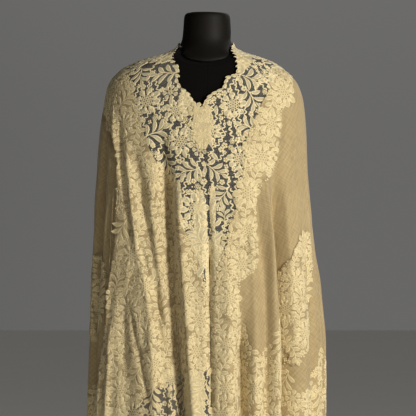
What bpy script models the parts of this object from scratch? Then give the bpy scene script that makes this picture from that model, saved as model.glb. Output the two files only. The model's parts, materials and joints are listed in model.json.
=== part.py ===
"""Lace shawl hung over a limbless dress form on a plain round stand.

Units are metres, +Z is up, +X is the wearer's left and -Y is the front. The floor is at Z = 0 and the
stand's pole is on the Z axis.

The cloth follows one surface. A point on it has two coordinates:
    turn    how far round the body: 0 at the centre back, +-0.5 at the sides and +-1 at the centre front,
            negative on the wearer's right
    fall    the distance from the neck, measured over the shoulder and down the side
Each panel is a patch of that surface with a wall, and neighbours share the points along their seam.
"""

import math

import bmesh
import bpy
import numpy as np
from mathutils import Vector

# ---- driving sizes ---------------------------------------------------------------------------------------

CLOTH_WALL = 0.0012
SEAM_GAP = 0.00034
LAY_GAP = 0.0008
FORM_CLEARANCE = 0.0028

FORM_BOTTOM = 0.830
FORM_SEGMENTS = 36
FORM_SHOULDER_HEIGHT = 1.408
FORM_SHOULDER_DROP = 0.085
PLATE_THICKNESS = 0.008
PLATE_INSET = 0.012
POLE_RADIUS = 0.0125
POLE_SEGMENTS = 20
BASE_RADIUS = 0.185
BASE_THICKNESS = 0.010
BASE_EDGE = 0.004
BASE_SEGMENTS = 48
COLLAR_RADIUS = 0.028
COLLAR_HEIGHT = 0.045
COLLAR_EDGE = 0.004
PART_GAP = 0.0003

HEM_HEIGHT = 0.500
PANEL_END_HEIGHT = 0.720
SCALLOP_DEPTH = 0.009
TUCK_DEPTH = 0.009
CENTRE_SEAM_TURN = 0.9996

# The hanging cloth's section at each height: half widths on the wearer's right and left, and the reach in
# front of the pole and behind it.
SECTIONS = (
    # height, right, left, front, back
    (1.445, 0.0575, 0.0545, 0.0560, 0.0600),
    (1.427, 0.0650, 0.0600, 0.0610, 0.0670),
    (1.414, 0.0880, 0.0820, 0.0680, 0.0740),
    (1.405, 0.1180, 0.1110, 0.0750, 0.0810),
    (1.395, 0.1500, 0.1390, 0.0820, 0.0880),
    (1.375, 0.1880, 0.1690, 0.0910, 0.0960),
    (1.345, 0.2120, 0.1960, 0.1010, 0.1040),
    (1.305, 0.2215, 0.2080, 0.1120, 0.1140),
    (1.250, 0.2300, 0.2130, 0.1240, 0.1240),
    (1.150, 0.2380, 0.2170, 0.1400, 0.1350),
    (1.020, 0.2440, 0.2290, 0.1520, 0.1410),
    (0.900, 0.2480, 0.2420, 0.1580, 0.1450),
    (0.780, 0.2530, 0.2505, 0.1610, 0.1480),
    (0.634, 0.2590, 0.2515, 0.1650, 0.1510),
    (0.400, 0.2640, 0.2560, 0.1690, 0.1550),
)

# The centre front wanders a little to one side.
CENTRE_LEAN = (
    # height, shift
    (1.360, 0.000),
    (1.291, -0.010),
    (1.200, -0.006),
    (1.126, 0.002),
    (0.900, 0.006),
    (0.400, 0.010),
)

# Long folds. Depth is outwards, so a trough is negative. A fold drifts from its first turn to its last one.
FOLDS = (
    # side, turn at the start, turn at the end, start height, end height, depth, half width in turn
    (-1, 0.868, 0.945, 1.270, 0.400, -0.030, 0.022),
    (-1, 0.905, 0.972, 1.180, 0.400, 0.010, 0.016),
    (-1, 0.788, 0.850, 1.240, 0.860, -0.011, 0.018),
    (-1, 0.800, 0.890, 1.060, 0.400, 0.009, 0.022),
    (-1, 0.735, 0.790, 0.960, 0.400, -0.014, 0.020),
    (-1, 0.620, 0.560, 1.240, 0.400, -0.024, 0.022),
    (1, 0.845, 0.838, 1.200, 0.760, -0.008, 0.018),
    (1, 0.764, 0.767, 1.230, 0.400, -0.026, 0.026),
    (1, 0.800, 0.805, 1.160, 0.400, 0.010, 0.020),
    (1, 0.912, 0.909, 0.930, 0.400, -0.022, 0.018),
    (1, 0.950, 0.953, 1.060, 0.400, 0.008, 0.020),
    (1, 0.636, 0.632, 1.060, 0.400, -0.012, 0.020),
    (1, 0.700, 0.700, 1.000, 0.400, 0.006, 0.022),
    (-1, 0.470, 0.480, 1.150, 0.400, -0.014, 0.024),
    (-1, 0.375, 0.360, 1.200, 0.400, -0.022, 0.022),
    (-1, 0.265, 0.250, 1.120, 0.400, -0.018, 0.024),
    (-1, 0.140, 0.150, 1.220, 0.400, -0.025, 0.024),
    (-1, 0.030, 0.020, 1.080, 0.400, -0.016, 0.024),
    (1, 0.090, 0.100, 1.190, 0.400, -0.022, 0.022),
    (1, 0.200, 0.215, 1.130, 0.400, -0.019, 0.024),
    (1, 0.315, 0.330, 1.210, 0.400, -0.024, 0.023),
    (1, 0.430, 0.440, 1.110, 0.400, -0.016, 0.024),
    (1, 0.530, 0.540, 1.080, 0.400, -0.015, 0.022),
)
FOLD_GROWTH = 0.16
SPLIT_TOP = 1.126
SPLIT_HALF_GAP = 0.0042
SPLIT_CURL = 0.010
SPLIT_CURL_WIDTH = 0.010

# The finished neck edge, from the side of the neck to the V on the chest.
NECK_EDGE_RIGHT = (
    # turn, height
    (0.500, 1.436),
    (0.620, 1.424),
    (0.833, 1.397),
    (0.890, 1.368),
    (0.925, 1.334),
    (0.949, 1.325),
    (0.969, 1.309),
    (1.000, 1.287),
)
NECK_EDGE_LEFT = (
    (0.500, 1.436),
    (0.679, 1.425),
    (0.845, 1.399),
    (0.898, 1.362),
    (0.941, 1.334),
    (0.966, 1.326),
    (0.987, 1.313),
    (1.000, 1.287),
)
NECK_EDGE_BACK = 1.446

# Where the see-through band ends and the backed lace or the cloth begins, from the shoulder to the middle.
BAND_EDGE_RIGHT = (
    # height, turn
    (1.377, 0.657),
    (1.361, 0.694),
    (1.345, 0.726),
    (1.302, 0.769),
    (1.242, 0.808),
    (1.197, 0.838),
    (1.145, 0.885),
    (1.113, 0.915),
    (1.072, 0.922),
    (1.027, 0.938),
    (0.993, 0.957),
    (0.958, 0.972),
    (0.915, 0.990),
)
BAND_EDGE_LEFT = (
    (1.377, 0.640),
    (1.361, 0.692),
    (1.345, 0.740),
    (1.302, 0.807),
    (1.259, 0.835),
    (1.227, 0.865),
    (1.173, 0.880),
    (1.130, 0.902),
    (1.076, 0.917),
    (1.044, 0.936),
    (0.990, 0.955),
    (0.940, 0.976),
    (0.915, 0.990),
)

# The right front's free outer edge. Above the first row it is sewn to the side fall at the side.
FREE_EDGE = (
    # height, turn
    (1.300, 0.520),
    (1.274, 0.579),
    (1.253, 0.622),
    (1.205, 0.694),
    (1.173, 0.709),
    (1.012, 0.704),
    (0.935, 0.690),
    (0.818, 0.668),
    (0.732, 0.642),
    (0.634, 0.620),
    (0.400, 0.600),
)

# The outer edge of the lace edging laid on the left front.
EDGING_OUTLINE = (
    # height, turn
    (1.368, 0.560),
    (1.332, 0.656),
    (1.311, 0.685),
    (1.270, 0.743),
    (1.227, 0.743),
    (1.197, 0.751),
    (1.152, 0.787),
    (1.113, 0.848),
    (1.053, 0.858),
    (1.001, 0.858),
    (0.950, 0.879),
    (0.924, 0.921),
    (0.872, 0.929),
    (0.834, 0.907),
    (0.775, 0.894),
)

# The hem lace's upper edge, where the cloth above it ends.
HEM_LACE_TOP = (
    # turn, height
    (-1.000, 0.742),
    (-0.925, 0.738),
    (-0.870, 0.711),
    (-0.830, 0.687),
    (-0.760, 0.660),
    (-0.620, 0.672),
    (-0.500, 0.690),
    (-0.400, 0.655),
    (-0.290, 0.700),
    (-0.150, 0.650),
    (0.000, 0.705),
    (0.140, 0.655),
    (0.290, 0.700),
    (0.400, 0.650),
    (0.545, 0.780),
    (0.640, 0.705),
    (0.730, 0.672),
    (0.765, 0.780),
    (0.785, 0.840),
    (0.820, 0.792),
    (0.855, 0.758),
    (0.900, 0.775),
    (0.945, 0.800),
    (1.000, 0.800),
)

# Lace sprays laid on the cloth, between two columns of their panel's grid.
SPRAY_LEFT_COLUMNS = (2, 4)
SPRAY_LEFT_HEIGHTS = (0.760, 1.035)
SPRAY_RIGHT_COLUMNS = (3, 6)
SPRAY_RIGHT_HEIGHTS = (0.790, 0.985)

# The patch below the V covers this many columns of the see-through band on each side of the centre.
ROSETTE_COLUMNS = 3
ROSETTE_ROWS = 2

# The dress form under the cloth, below its shoulders.
FORM_SECTIONS = (
    # height, half width, front, back
    (1.405, 0.0960, 0.0640, 0.0730),
    (1.390, 0.1220, 0.0710, 0.0800),
    (1.375, 0.1480, 0.0800, 0.0870),
    (1.355, 0.1680, 0.0890, 0.0910),
    (1.330, 0.1760, 0.0940, 0.0940),
    (1.300, 0.1740, 0.0990, 0.0980),
    (1.250, 0.1620, 0.1060, 0.1010),
    (1.190, 0.1520, 0.1120, 0.0960),
    (1.140, 0.1440, 0.1100, 0.0900),
    (1.060, 0.1280, 0.0930, 0.0820),
    (0.980, 0.1180, 0.0830, 0.0780),
    (0.900, 0.1420, 0.0900, 0.0900),
    (0.830, 0.1520, 0.0960, 0.0940),
)
NECK_SECTIONS = (
    # height, half width, half depth
    (1.500, 0.0430, 0.0440),
    (1.497, 0.0480, 0.0490),
    (1.490, 0.0500, 0.0510),
    (1.475, 0.0508, 0.0520),
    (1.458, 0.0520, 0.0530),
)
NECK_FOOT = 1.445
# The seam between the neck block and the torso, which dips at the front.
NECK_SEAM = (
    # turn, height
    (0.00, 1.441),
    (0.50, 1.432),
    (0.65, 1.425),
    (0.80, 1.409),
    (0.90, 1.391),
    (1.00, 1.382),
)
SEAM_TO_SHOULDER = (0.0, 0.12, 0.24, 0.38, 0.52, 0.68, 0.84, 1.0)
SHOULDER_RING = 1.375
TORSO_HEIGHTS = (1.366, 1.356, 1.340, 1.320, 1.298, 1.265, 1.225, 1.180, 1.135, 1.080, 1.020, 0.960, 0.900)

SIDE_TURN = 0.500


# ---- small helpers ---------------------------------------------------------------------------------------


def read(table, at, column):
    """A column of a table, smoothly interpolated at a value of the table's first column."""
    rows = sorted(table)
    x = np.array([row[0] for row in rows])
    y = np.array([row[column] for row in rows])
    step = np.diff(x)
    rise = np.diff(y) / step
    slope = np.zeros_like(y)
    for i in range(1, len(x) - 1):
        if rise[i - 1] * rise[i] > 0.0:
            slope[i] = 2.0 / (1.0 / rise[i - 1] + 1.0 / rise[i])
    slope[0], slope[-1] = rise[0], rise[-1]
    at = min(max(at, x[0]), x[-1])
    i = min(int(np.searchsorted(x, at, side="right")) - 1, len(step) - 1)
    t = (at - x[i]) / step[i]
    start = (1.0 + 2.0 * t) * (1.0 - t) ** 2 * y[i] + t * (1.0 - t) ** 2 * step[i] * slope[i]
    end = t * t * (3.0 - 2.0 * t) * y[i + 1] + t * t * (t - 1.0) * step[i] * slope[i + 1]
    return float(start + end)


def ease(value):
    """Smooth step from 0 to 1."""
    value = min(max(value, 0.0), 1.0)
    return value * value * (3.0 - 2.0 * value)


def mix(a, b, t):
    return a + (b - a) * t


def spread(start, end, count):
    return [mix(start, end, i / (count - 1)) for i in range(count)]


# ---- the cloth's surface ---------------------------------------------------------------------------------


def fall_table():
    """(height, fall) down the side of the body, on the mean of the two half widths."""
    rows = []
    fall = 0.0
    last = None
    for height, right, left, _, _ in SECTIONS:
        here = ((right + left) / 2.0, height)
        if last:
            fall += math.dist(here, last)
        rows.append((height, fall))
        last = here
    return tuple(rows)


FALL_AT = fall_table()
HEIGHT_AT = tuple((fall, height) for height, fall in FALL_AT)


def fall_at(height):
    """The fall at a height. Straight between the sections, so that it turns back exactly."""
    rows = sorted(FALL_AT)
    return float(np.interp(height, [row[0] for row in rows], [row[1] for row in rows]))


def height_at(fall):
    return float(np.interp(fall, [row[0] for row in HEIGHT_AT], [row[1] for row in HEIGHT_AT]))


def smooth_point(turn, fall):
    """A point of the cloth before it is folded."""
    height = height_at(fall)
    angle = math.pi * turn
    across = math.sin(angle)
    along = math.cos(angle)
    half_width = read(SECTIONS, height, 2 if across > 0.0 else 1)
    reach = read(SECTIONS, height, 4 if along > 0.0 else 3)
    lean = read(CENTRE_LEAN, height, 1) * max(0.0, -along) ** 4
    return Vector((half_width * across + lean, reach * along, height))


def normal_of(point, turn, fall):
    """Outward normal of a surface given as a function of turn and fall."""
    d = 0.0015
    round_body = point(turn + d, fall) - point(turn - d, fall)
    down = point(turn, fall + d) - point(turn, max(fall - d, 0.0))
    return round_body.cross(down).normalized()


def fold_height(turn, fall):
    """How far the folds move the cloth outwards."""
    height = height_at(fall)
    side = 1 if turn >= 0.0 else -1
    across = abs(turn)
    total = 0.0
    for fold_side, first, last, top, bottom, depth, width in FOLDS:
        # A fold near the centre back reaches over to the other side.
        place = mix(first, last, min(max((top - height) / (top - bottom), 0.0), 1.0))
        away = (across - place) if fold_side == side else (across + place)
        if abs(away) < 4.0 * width:
            grown = ease((top - height) / FOLD_GROWTH)
            total += depth * grown * math.exp(-((away / width) ** 2))
    split = ease((SPLIT_TOP - height) / FOLD_GROWTH)
    total -= SPLIT_CURL * split * math.exp(-(((1.0 - across) / SPLIT_CURL_WIDTH) ** 2))
    return total


def cloth_point(turn, fall):
    """A point of the folded cloth's outer face."""
    return smooth_point(turn, fall) + normal_of(smooth_point, turn, fall) * fold_height(turn, fall)


def raised(turn, fall, out):
    """A point at a distance outside the cloth's outer face."""
    return cloth_point(turn, fall) + normal_of(cloth_point, turn, fall) * out


# ---- boundary curves -------------------------------------------------------------------------------------


def neck_fall(turn):
    """Fall of the finished neck edge."""
    across = abs(turn)
    if across <= SIDE_TURN:
        height = mix(NECK_EDGE_BACK, NECK_EDGE_LEFT[0][1], ease(across / SIDE_TURN))
    else:
        height = read(NECK_EDGE_LEFT if turn > 0.0 else NECK_EDGE_RIGHT, across, 1)
    return fall_at(height)


def band_turn(side, height):
    """How far round the see-through band reaches at a height, and below it the edge of the front split."""
    if height < BAND_EDGE_RIGHT[-1][0]:
        return 1.0 - SPLIT_HALF_GAP
    return read(BAND_EDGE_LEFT if side > 0 else BAND_EDGE_RIGHT, height, 1)


def free_edge(height):
    """How far round the right front's outer edge lies, sewn at the side above the free part."""
    if height >= FREE_EDGE[0][0]:
        return mix(SIDE_TURN, FREE_EDGE[0][1], ease((1.345 - height) / 0.045))
    return read(FREE_EDGE, height, 1)


def tuck(turn, fall):
    """How far the right side fall sinks behind the right front's free edge."""
    height = height_at(fall)
    near = ease((-turn - free_edge(height) + 0.050) / 0.045)
    return -TUCK_DEPTH * near * ease((1.372 - height) / 0.060)


# ---- rows and columns of the panels ----------------------------------------------------------------------

BAND_ROWS = tuple(fall_at(row[0]) for row in BAND_EDGE_RIGHT)
PANEL_END = fall_at(PANEL_END_HEIGHT)
HEM_FALL = fall_at(HEM_HEIGHT)
BODY_ROWS = BAND_ROWS + tuple(spread(BAND_ROWS[-1], PANEL_END, 6)[1:])
BAND_STEPS = (0.0, 0.115, 0.23, 0.42, 0.62, 0.82, 1.0)
HEM_STEPS = (0.0, 0.5, 1.0)
BACK_TURNS = tuple(spread(-SIDE_TURN, SIDE_TURN, 25))
SIDE_CELLS = 5
FRONT_CELLS = 12
EDGING_COLUMN = 6
TUCKED_CELLS = 3


def panel_fall(row_fall, turn):
    """The fall of a panel's row. The lowest rows bend to meet the hem lace's upper edge."""
    lowered = max(0.0, (row_fall - BAND_ROWS[-1]) / (PANEL_END - BAND_ROWS[-1]))
    return row_fall + (hem_top(turn) - PANEL_END) * lowered


def hem_top(turn):
    return fall_at(read(HEM_LACE_TOP, turn, 1))


def body_places(turns_at):
    """A panel's grid of (turn, fall), whose turns depend on the height."""
    grid = []
    for row_fall in BODY_ROWS:
        turns = turns_at(height_at(row_fall))
        grid.append([(turn, panel_fall(row_fall, turn)) for turn in turns])
    return grid


def right_front_turns(height):
    """From the free outer edge to the see-through band or the split."""
    return [-turn for turn in spread(free_edge(height), band_turn(-1, height), FRONT_CELLS + 1)]


def left_front_turns(height):
    """From the side to the band or the split, with one column along the lace edging's outline."""
    inner = band_turn(1, height)
    outline = min(read(EDGING_OUTLINE, height, 1), inner - 0.012)
    outside = spread(SIDE_TURN, outline, EDGING_COLUMN + 1)
    return outside + spread(outline, inner, FRONT_CELLS - EDGING_COLUMN + 1)[1:]


def right_side_turns(height):
    """The right side fall, with its tucked strip behind the front's free edge first."""
    under = free_edge(height) + 0.032 * ease((1.310 - height) / 0.060)
    tucked = [-turn for turn in spread(under, SIDE_TURN, TUCKED_CELLS + 1)]
    return tucked[:-1] + list(BACK_TURNS[:SIDE_CELLS + 1])


def left_side_turns(_height):
    return list(BACK_TURNS[-SIDE_CELLS - 1:])


def back_turns(_height):
    return list(BACK_TURNS[SIDE_CELLS:-SIDE_CELLS])


# ---- making solids ---------------------------------------------------------------------------------------


def finish_object(name, mesh):
    """Turns a bmesh into a smooth-shaded object of the scene."""
    bmesh.ops.recalc_face_normals(mesh, faces=mesh.faces)
    data = bpy.data.meshes.new(name)
    mesh.to_mesh(data)
    mesh.free()
    data.shade_smooth()
    data.set_sharp_from_angle(angle=math.radians(50.0))
    part = bpy.data.objects.new(name, data)
    bpy.context.collection.objects.link(part)
    return part


def edge_moves(points, cells):
    """The border's directed edges, and the move that draws each border point in by half a seam gap."""
    owners = {}
    for cell in cells:
        for i, start in enumerate(cell):
            owners[(start, cell[(i + 1) % 4])] = cell
    border = [edge for edge in owners if (edge[1], edge[0]) not in owners]
    inward = {}
    for start, end in border:
        middle = sum((points[k] for k in owners[(start, end)]), Vector()) / 4.0
        along = (points[end] - points[start]).normalized()
        across = middle - points[start]
        across = (across - along * across.dot(along)).normalized()
        inward.setdefault(start, []).append(across)
        inward.setdefault(end, []).append(across)
    moves = {}
    for key, (first, second) in inward.items():
        moves[key] = (first + second) * (SEAM_GAP / 2.0) / max(1.0 + first.dot(second), 0.5)
    return border, moves


def cloth_wall(name, places, lift=0.0, sink=None, keep=None):
    """A closed wall over a grid of (turn, fall).

    lift moves the wall out, so that it lies on another. sink lowers each point behind a neighbour. keep says
    which cells of the grid are cloth.
    """
    outer, inner = {}, {}
    for r, row in enumerate(places):
        for c, (turn, fall) in enumerate(row):
            level = lift + (sink(turn, fall) if sink else 0.0)
            outer[(r, c)] = raised(turn, fall, level)
            inner[(r, c)] = raised(turn, fall, level - CLOTH_WALL)
    cells = []
    for r in range(len(places) - 1):
        for c in range(len(places[0]) - 1):
            if keep is None or keep(r, c):
                cells.append(((r, c), (r + 1, c), (r + 1, c + 1), (r, c + 1)))
    border, moves = edge_moves(outer, cells)
    mesh = bmesh.new()
    used = sorted({key for cell in cells for key in cell})
    sheets = []
    for points in (outer, inner):
        sheets.append({key: mesh.verts.new(points[key] + moves.get(key, Vector())) for key in used})
    for a, b, c, d in cells:
        for triangle in ((a, b, c), (a, c, d)):
            mesh.faces.new([sheets[0][key] for key in triangle])
            mesh.faces.new([sheets[1][key] for key in reversed(triangle)])
    for start, end in border:
        # Two neighbours split their shared wall along the same diagonal.
        first, last = (start, end) if tuple(outer[start]) < tuple(outer[end]) else (end, start)
        mesh.faces.new((sheets[0][first], sheets[0][last], sheets[1][last]))
        mesh.faces.new((sheets[0][first], sheets[1][last], sheets[1][first]))
    return finish_object(name, mesh)


def loft(name, rings, closed=False):
    """A closed solid through rings of points, capped at both ends or joined from the last ring to the first."""
    mesh = bmesh.new()
    loops = [[mesh.verts.new(p) for p in ring] for ring in rings]
    following = loops[1:] + loops[:1] if closed else loops[1:]
    for upper, lower in zip(loops, following):
        for i, start in enumerate(upper):
            n = (i + 1) % len(upper)
            mesh.faces.new((start, lower[i], lower[n], upper[n]))
    if not closed:
        for ring in (loops[0], loops[-1]):
            middle = mesh.verts.new(sum((vertex.co for vertex in ring), Vector()) / len(ring))
            for i, start in enumerate(ring):
                mesh.faces.new((middle, start, ring[(i + 1) % len(ring)]))
    return finish_object(name, mesh)


def turned(name, profile, segments, closed=False):
    """A solid of revolution on the Z axis, from (radius, height) points, top to bottom.

    A closed profile goes back to its first point and makes a ring with a bore.
    """
    rings = []
    for radius, height in profile:
        angles = [2.0 * math.pi * i / segments for i in range(segments)]
        rings.append([Vector((radius * math.cos(a), radius * math.sin(a), height)) for a in angles])
    return loft(name, rings, closed)


# ---- the shawl -------------------------------------------------------------------------------------------


def front_band_columns(side):
    """(turn, fall) along the band's outer edge, from the side to the centre front."""
    turns_at = left_front_turns if side > 0 else right_front_turns
    columns = body_places(turns_at)[0]
    for row_fall in BAND_ROWS[1:]:
        columns.append((side * band_turn(side, height_at(row_fall)), row_fall))
    columns.append((side * CENTRE_SEAM_TURN, BAND_ROWS[-1]))
    return columns


def band_places(columns):
    """A band's grid from the scalloped neck edge to its outer edge."""
    grid = []
    for step in BAND_STEPS:
        row = []
        for i, (turn, edge_fall) in enumerate(columns):
            scallop = SCALLOP_DEPTH * (i % 2) if step == 0.0 and i < len(columns) - 1 else 0.0
            row.append((turn, mix(neck_fall(turn) + scallop, edge_fall, step)))
        grid.append(row)
    return grid


def hem_places(turns):
    """A hem lace's grid from its upper edge to its scalloped bottom edge."""
    grid = []
    for step in HEM_STEPS:
        row = []
        for i, turn in enumerate(turns):
            bottom = HEM_FALL - SCALLOP_DEPTH * (i % 2)
            row.append((turn, mix(hem_top(turn), bottom, step)))
        grid.append(row)
    return grid


def within(places, columns, heights):
    """A test of which cells lie between two columns and two heights."""

    def keep(r, c):
        fall = (places[r][c][1] + places[r + 1][c][1]) / 2.0
        return columns[0] <= c < columns[1] and heights[0] < height_at(fall) < heights[1]

    return keep


def make_fronts():
    """Both fronts, with the lace laid on the left one."""
    right = body_places(right_front_turns)
    left = body_places(left_front_turns)
    on_top = CLOTH_WALL + LAY_GAP
    edging = (EDGING_COLUMN, FRONT_CELLS)
    edging_heights = (EDGING_OUTLINE[-1][0], BAND_EDGE_LEFT[0][0])
    return [
        dress(cloth_wall("front_right", right), backed_lace()),
        dress(cloth_wall("front_left", left), sheer_cloth()),
        dress(
            cloth_wall("edge_lace_left", left, on_top, keep=within(left, edging, edging_heights)),
            backed_lace(),
        ),
        dress(
            cloth_wall(
                "spray_lace_left", left, on_top, keep=within(left, SPRAY_LEFT_COLUMNS, SPRAY_LEFT_HEIGHTS)
            ),
            backed_lace(),
        ),
    ]


def make_sides_and_back():
    """The side falls and the back, with the lace spray on the right fall."""
    right = body_places(right_side_turns)
    free_row = next(i for i, fall in enumerate(BODY_ROWS) if height_at(fall) <= FREE_EDGE[0][0] + 0.003)

    def not_above_free_edge(r, c):
        return c >= TUCKED_CELLS or r >= free_row

    return [
        dress(cloth_wall("side_fall_right", right, sink=tuck, keep=not_above_free_edge), sheer_cloth()),
        dress(
            cloth_wall(
                "spray_lace_right",
                right,
                CLOTH_WALL + LAY_GAP,
                sink=tuck,
                keep=within(right, SPRAY_RIGHT_COLUMNS, SPRAY_RIGHT_HEIGHTS),
            ),
            backed_lace(),
        ),
        dress(cloth_wall("side_fall_left", body_places(left_side_turns)), sheer_cloth()),
        dress(cloth_wall("back_panel", body_places(back_turns)), sheer_cloth()),
    ]


def make_neck_lace():
    """The see-through band in three stretches, and the patch where its two neck edges meet."""
    right = front_band_columns(-1)
    left = front_band_columns(1)
    back = [(turn, BAND_ROWS[0]) for turn in BACK_TURNS]
    joined = [row_r + row_l[::-1] for row_r, row_l in zip(band_places(right), band_places(left))]
    middle = len(right)
    reach = (middle - 1 - ROSETTE_COLUMNS, middle + ROSETTE_COLUMNS)

    def on_patch(r, c):
        return reach[0] <= c < reach[1] and r < ROSETTE_ROWS

    return [
        dress(cloth_wall("neck_lace_right", band_places(right)), open_lace()),
        dress(cloth_wall("neck_lace_left", band_places(left)), open_lace()),
        dress(cloth_wall("neck_lace_back", band_places(back)), open_lace()),
        dress(cloth_wall("centre_rosette", joined, CLOTH_WALL + LAY_GAP, keep=on_patch), backed_lace()),
    ]


def make_hem_lace():
    """The scalloped border along the bottom of each panel."""
    stretches = (
        ("hem_lace_front_right", right_front_turns, None),
        ("hem_lace_front_left", left_front_turns, None),
        ("hem_lace_side_right", right_side_turns, tuck),
        ("hem_lace_side_left", left_side_turns, None),
        ("hem_lace_back", back_turns, None),
    )
    made = []
    for name, turns_at, sink in stretches:
        turns = turns_at(height_at(BODY_ROWS[-1]))
        made.append(dress(cloth_wall(name, hem_places(turns), sink=sink), open_lace()))
    return made


# ---- the dress form and its stand ------------------------------------------------------------------------


def form_point(turn, height):
    """A point of the torso: just under the cloth on the shoulders, and clear of it below them."""
    fall = fall_at(height)
    under_cloth = smooth_point(turn, fall)
    under_cloth -= normal_of(smooth_point, turn, fall) * (CLOTH_WALL + FORM_CLEARANCE)
    angle = math.pi * turn
    reach = read(FORM_SECTIONS, height, 3 if math.cos(angle) > 0.0 else 2)
    free = Vector((read(FORM_SECTIONS, height, 1) * math.sin(angle), reach * math.cos(angle), height))
    return under_cloth.lerp(free, ease((FORM_SHOULDER_HEIGHT - height) / FORM_SHOULDER_DROP))


def form_turns():
    return spread(-1.0, 1.0, FORM_SEGMENTS + 1)[:-1]


def form_ring(height_of):
    """A ring of the form, whose height may change round it."""
    return [form_point(turn, height_of(turn)) for turn in form_turns()]


def seam_height(turn, gap=0.0):
    return read(NECK_SEAM, abs(turn), 1) - gap


def make_torso():
    """The torso, from the neck seam down to its flat underside."""
    rings = []
    for step in SEAM_TO_SHOULDER:
        rings.append(form_ring(lambda turn, s=step: mix(seam_height(turn, PART_GAP), SHOULDER_RING, s)))
    for height in TORSO_HEIGHTS + (FORM_BOTTOM,):
        rings.append(form_ring(lambda _turn, h=height: h))
    return dress(loft("form_torso", rings), black_jersey())


def make_neck_block():
    """The neck block, with a flat top whose edge is rounded, flaring into the shoulders."""
    rings = []
    for height, half_width, half_depth in NECK_SECTIONS:
        ring = []
        for turn in form_turns():
            angle = math.pi * turn
            ring.append(Vector((half_width * math.sin(angle), half_depth * math.cos(angle), height)))
        rings.append(ring)
    for step in (0.0, 0.3, 0.65, 1.0):
        rings.append(form_ring(lambda turn, s=step: mix(NECK_FOOT, seam_height(turn), s)))
    return dress(loft("form_neck", rings), neck_black())


def make_plate():
    """The plate that closes the torso and takes the pole."""
    rings = []
    for height in (FORM_BOTTOM - PART_GAP, FORM_BOTTOM - PART_GAP - PLATE_THICKNESS):
        ring = []
        for point in form_ring(lambda _turn: FORM_BOTTOM):
            outward = Vector((point.x, point.y, 0.0))
            ring.append(outward * (1.0 - PLATE_INSET / outward.length) + Vector((0.0, 0.0, height)))
        rings.append(ring)
    return dress(loft("form_plate", rings), dark_wood())


def make_stand():
    """The pole from the base to the plate, a collar at its foot and a round base."""
    pole_top = FORM_BOTTOM - 2.0 * PART_GAP - PLATE_THICKNESS
    foot = BASE_THICKNESS + PART_GAP
    pole = turned("stand_pole", [(POLE_RADIUS, pole_top), (POLE_RADIUS, foot)], POLE_SEGMENTS)
    bore = POLE_RADIUS + PART_GAP
    collar_profile = [
        (bore, foot + COLLAR_HEIGHT),
        (COLLAR_RADIUS - 2.0 * COLLAR_EDGE, foot + COLLAR_HEIGHT),
        (COLLAR_RADIUS - COLLAR_EDGE, foot + COLLAR_HEIGHT - COLLAR_EDGE),
        (COLLAR_RADIUS, foot + COLLAR_EDGE),
        (COLLAR_RADIUS, foot),
        (bore, foot),
    ]
    collar = turned("stand_collar", collar_profile, POLE_SEGMENTS, closed=True)
    base_profile = [
        (BASE_RADIUS - BASE_EDGE, BASE_THICKNESS),
        (BASE_RADIUS, BASE_THICKNESS - BASE_EDGE),
        (BASE_RADIUS, 0.001),
        (BASE_RADIUS - 0.001, 0.0),
    ]
    base = turned("stand_base", base_profile, BASE_SEGMENTS)
    return [dress(pole, black_steel()), dress(collar, black_steel()), dress(base, black_steel())]


# ---- materials -------------------------------------------------------------------------------------------


def finish(name, colour, roughness, metallic=0.0):
    """A plain finish, made once."""
    material = bpy.data.materials.get(name)
    if material is None:
        material = bpy.data.materials.new(name)
        material.use_nodes = True
        shader = material.node_tree.nodes["Principled BSDF"]
        shader.inputs["Base Color"].default_value = (*colour, 1.0)
        shader.inputs["Roughness"].default_value = roughness
        shader.inputs["Metallic"].default_value = metallic
        material.diffuse_color = (*colour, 1.0)
    return material


def sheer_cloth():
    return finish("sheer_cloth", (0.56, 0.44, 0.26), 0.85)


def backed_lace():
    return finish("backed_lace", (0.74, 0.63, 0.40), 0.80)


def open_lace():
    return finish("open_lace", (0.68, 0.60, 0.42), 0.80)


def black_jersey():
    return finish("black_jersey", (0.006, 0.006, 0.006), 0.90)


def neck_black():
    return finish("neck_black", (0.012, 0.011, 0.008), 0.60)


def dark_wood():
    return finish("dark_wood", (0.045, 0.025, 0.014), 0.55)


def black_steel():
    return finish("black_steel", (0.020, 0.020, 0.022), 0.40, 0.8)


def dress(part, material):
    part.data.materials.append(material)
    return part


# ---- the whole object ------------------------------------------------------------------------------------


def clear_scene():
    for thing in list(bpy.data.objects):
        bpy.data.objects.remove(thing, do_unlink=True)


def main():
    clear_scene()
    make_neck_lace()
    make_fronts()
    make_sides_and_back()
    make_hem_lace()
    make_torso()
    make_neck_block()
    make_plate()
    make_stand()


main()
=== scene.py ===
"""The looks of the lace shawl on its dress form.

The cloth follows one surface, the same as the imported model's. A place on it has two coordinates:
    turn    how far round the body: 0 at the centre back, +-0.5 at the sides and +-1 at the centre front,
            negative on the wearer's right
    fall    the distance from the neck, over the shoulder and down the side, in metres
Fine sheets of that surface carry the weaves. Flat lace motifs are drawn once each, and a Geometry Nodes
tree lays them on the folded sheets.
"""

from __future__ import annotations

import json
import logging
import math
from dataclasses import dataclass, field
from enum import Enum
from typing import Callable, Iterable, Sequence

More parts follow.
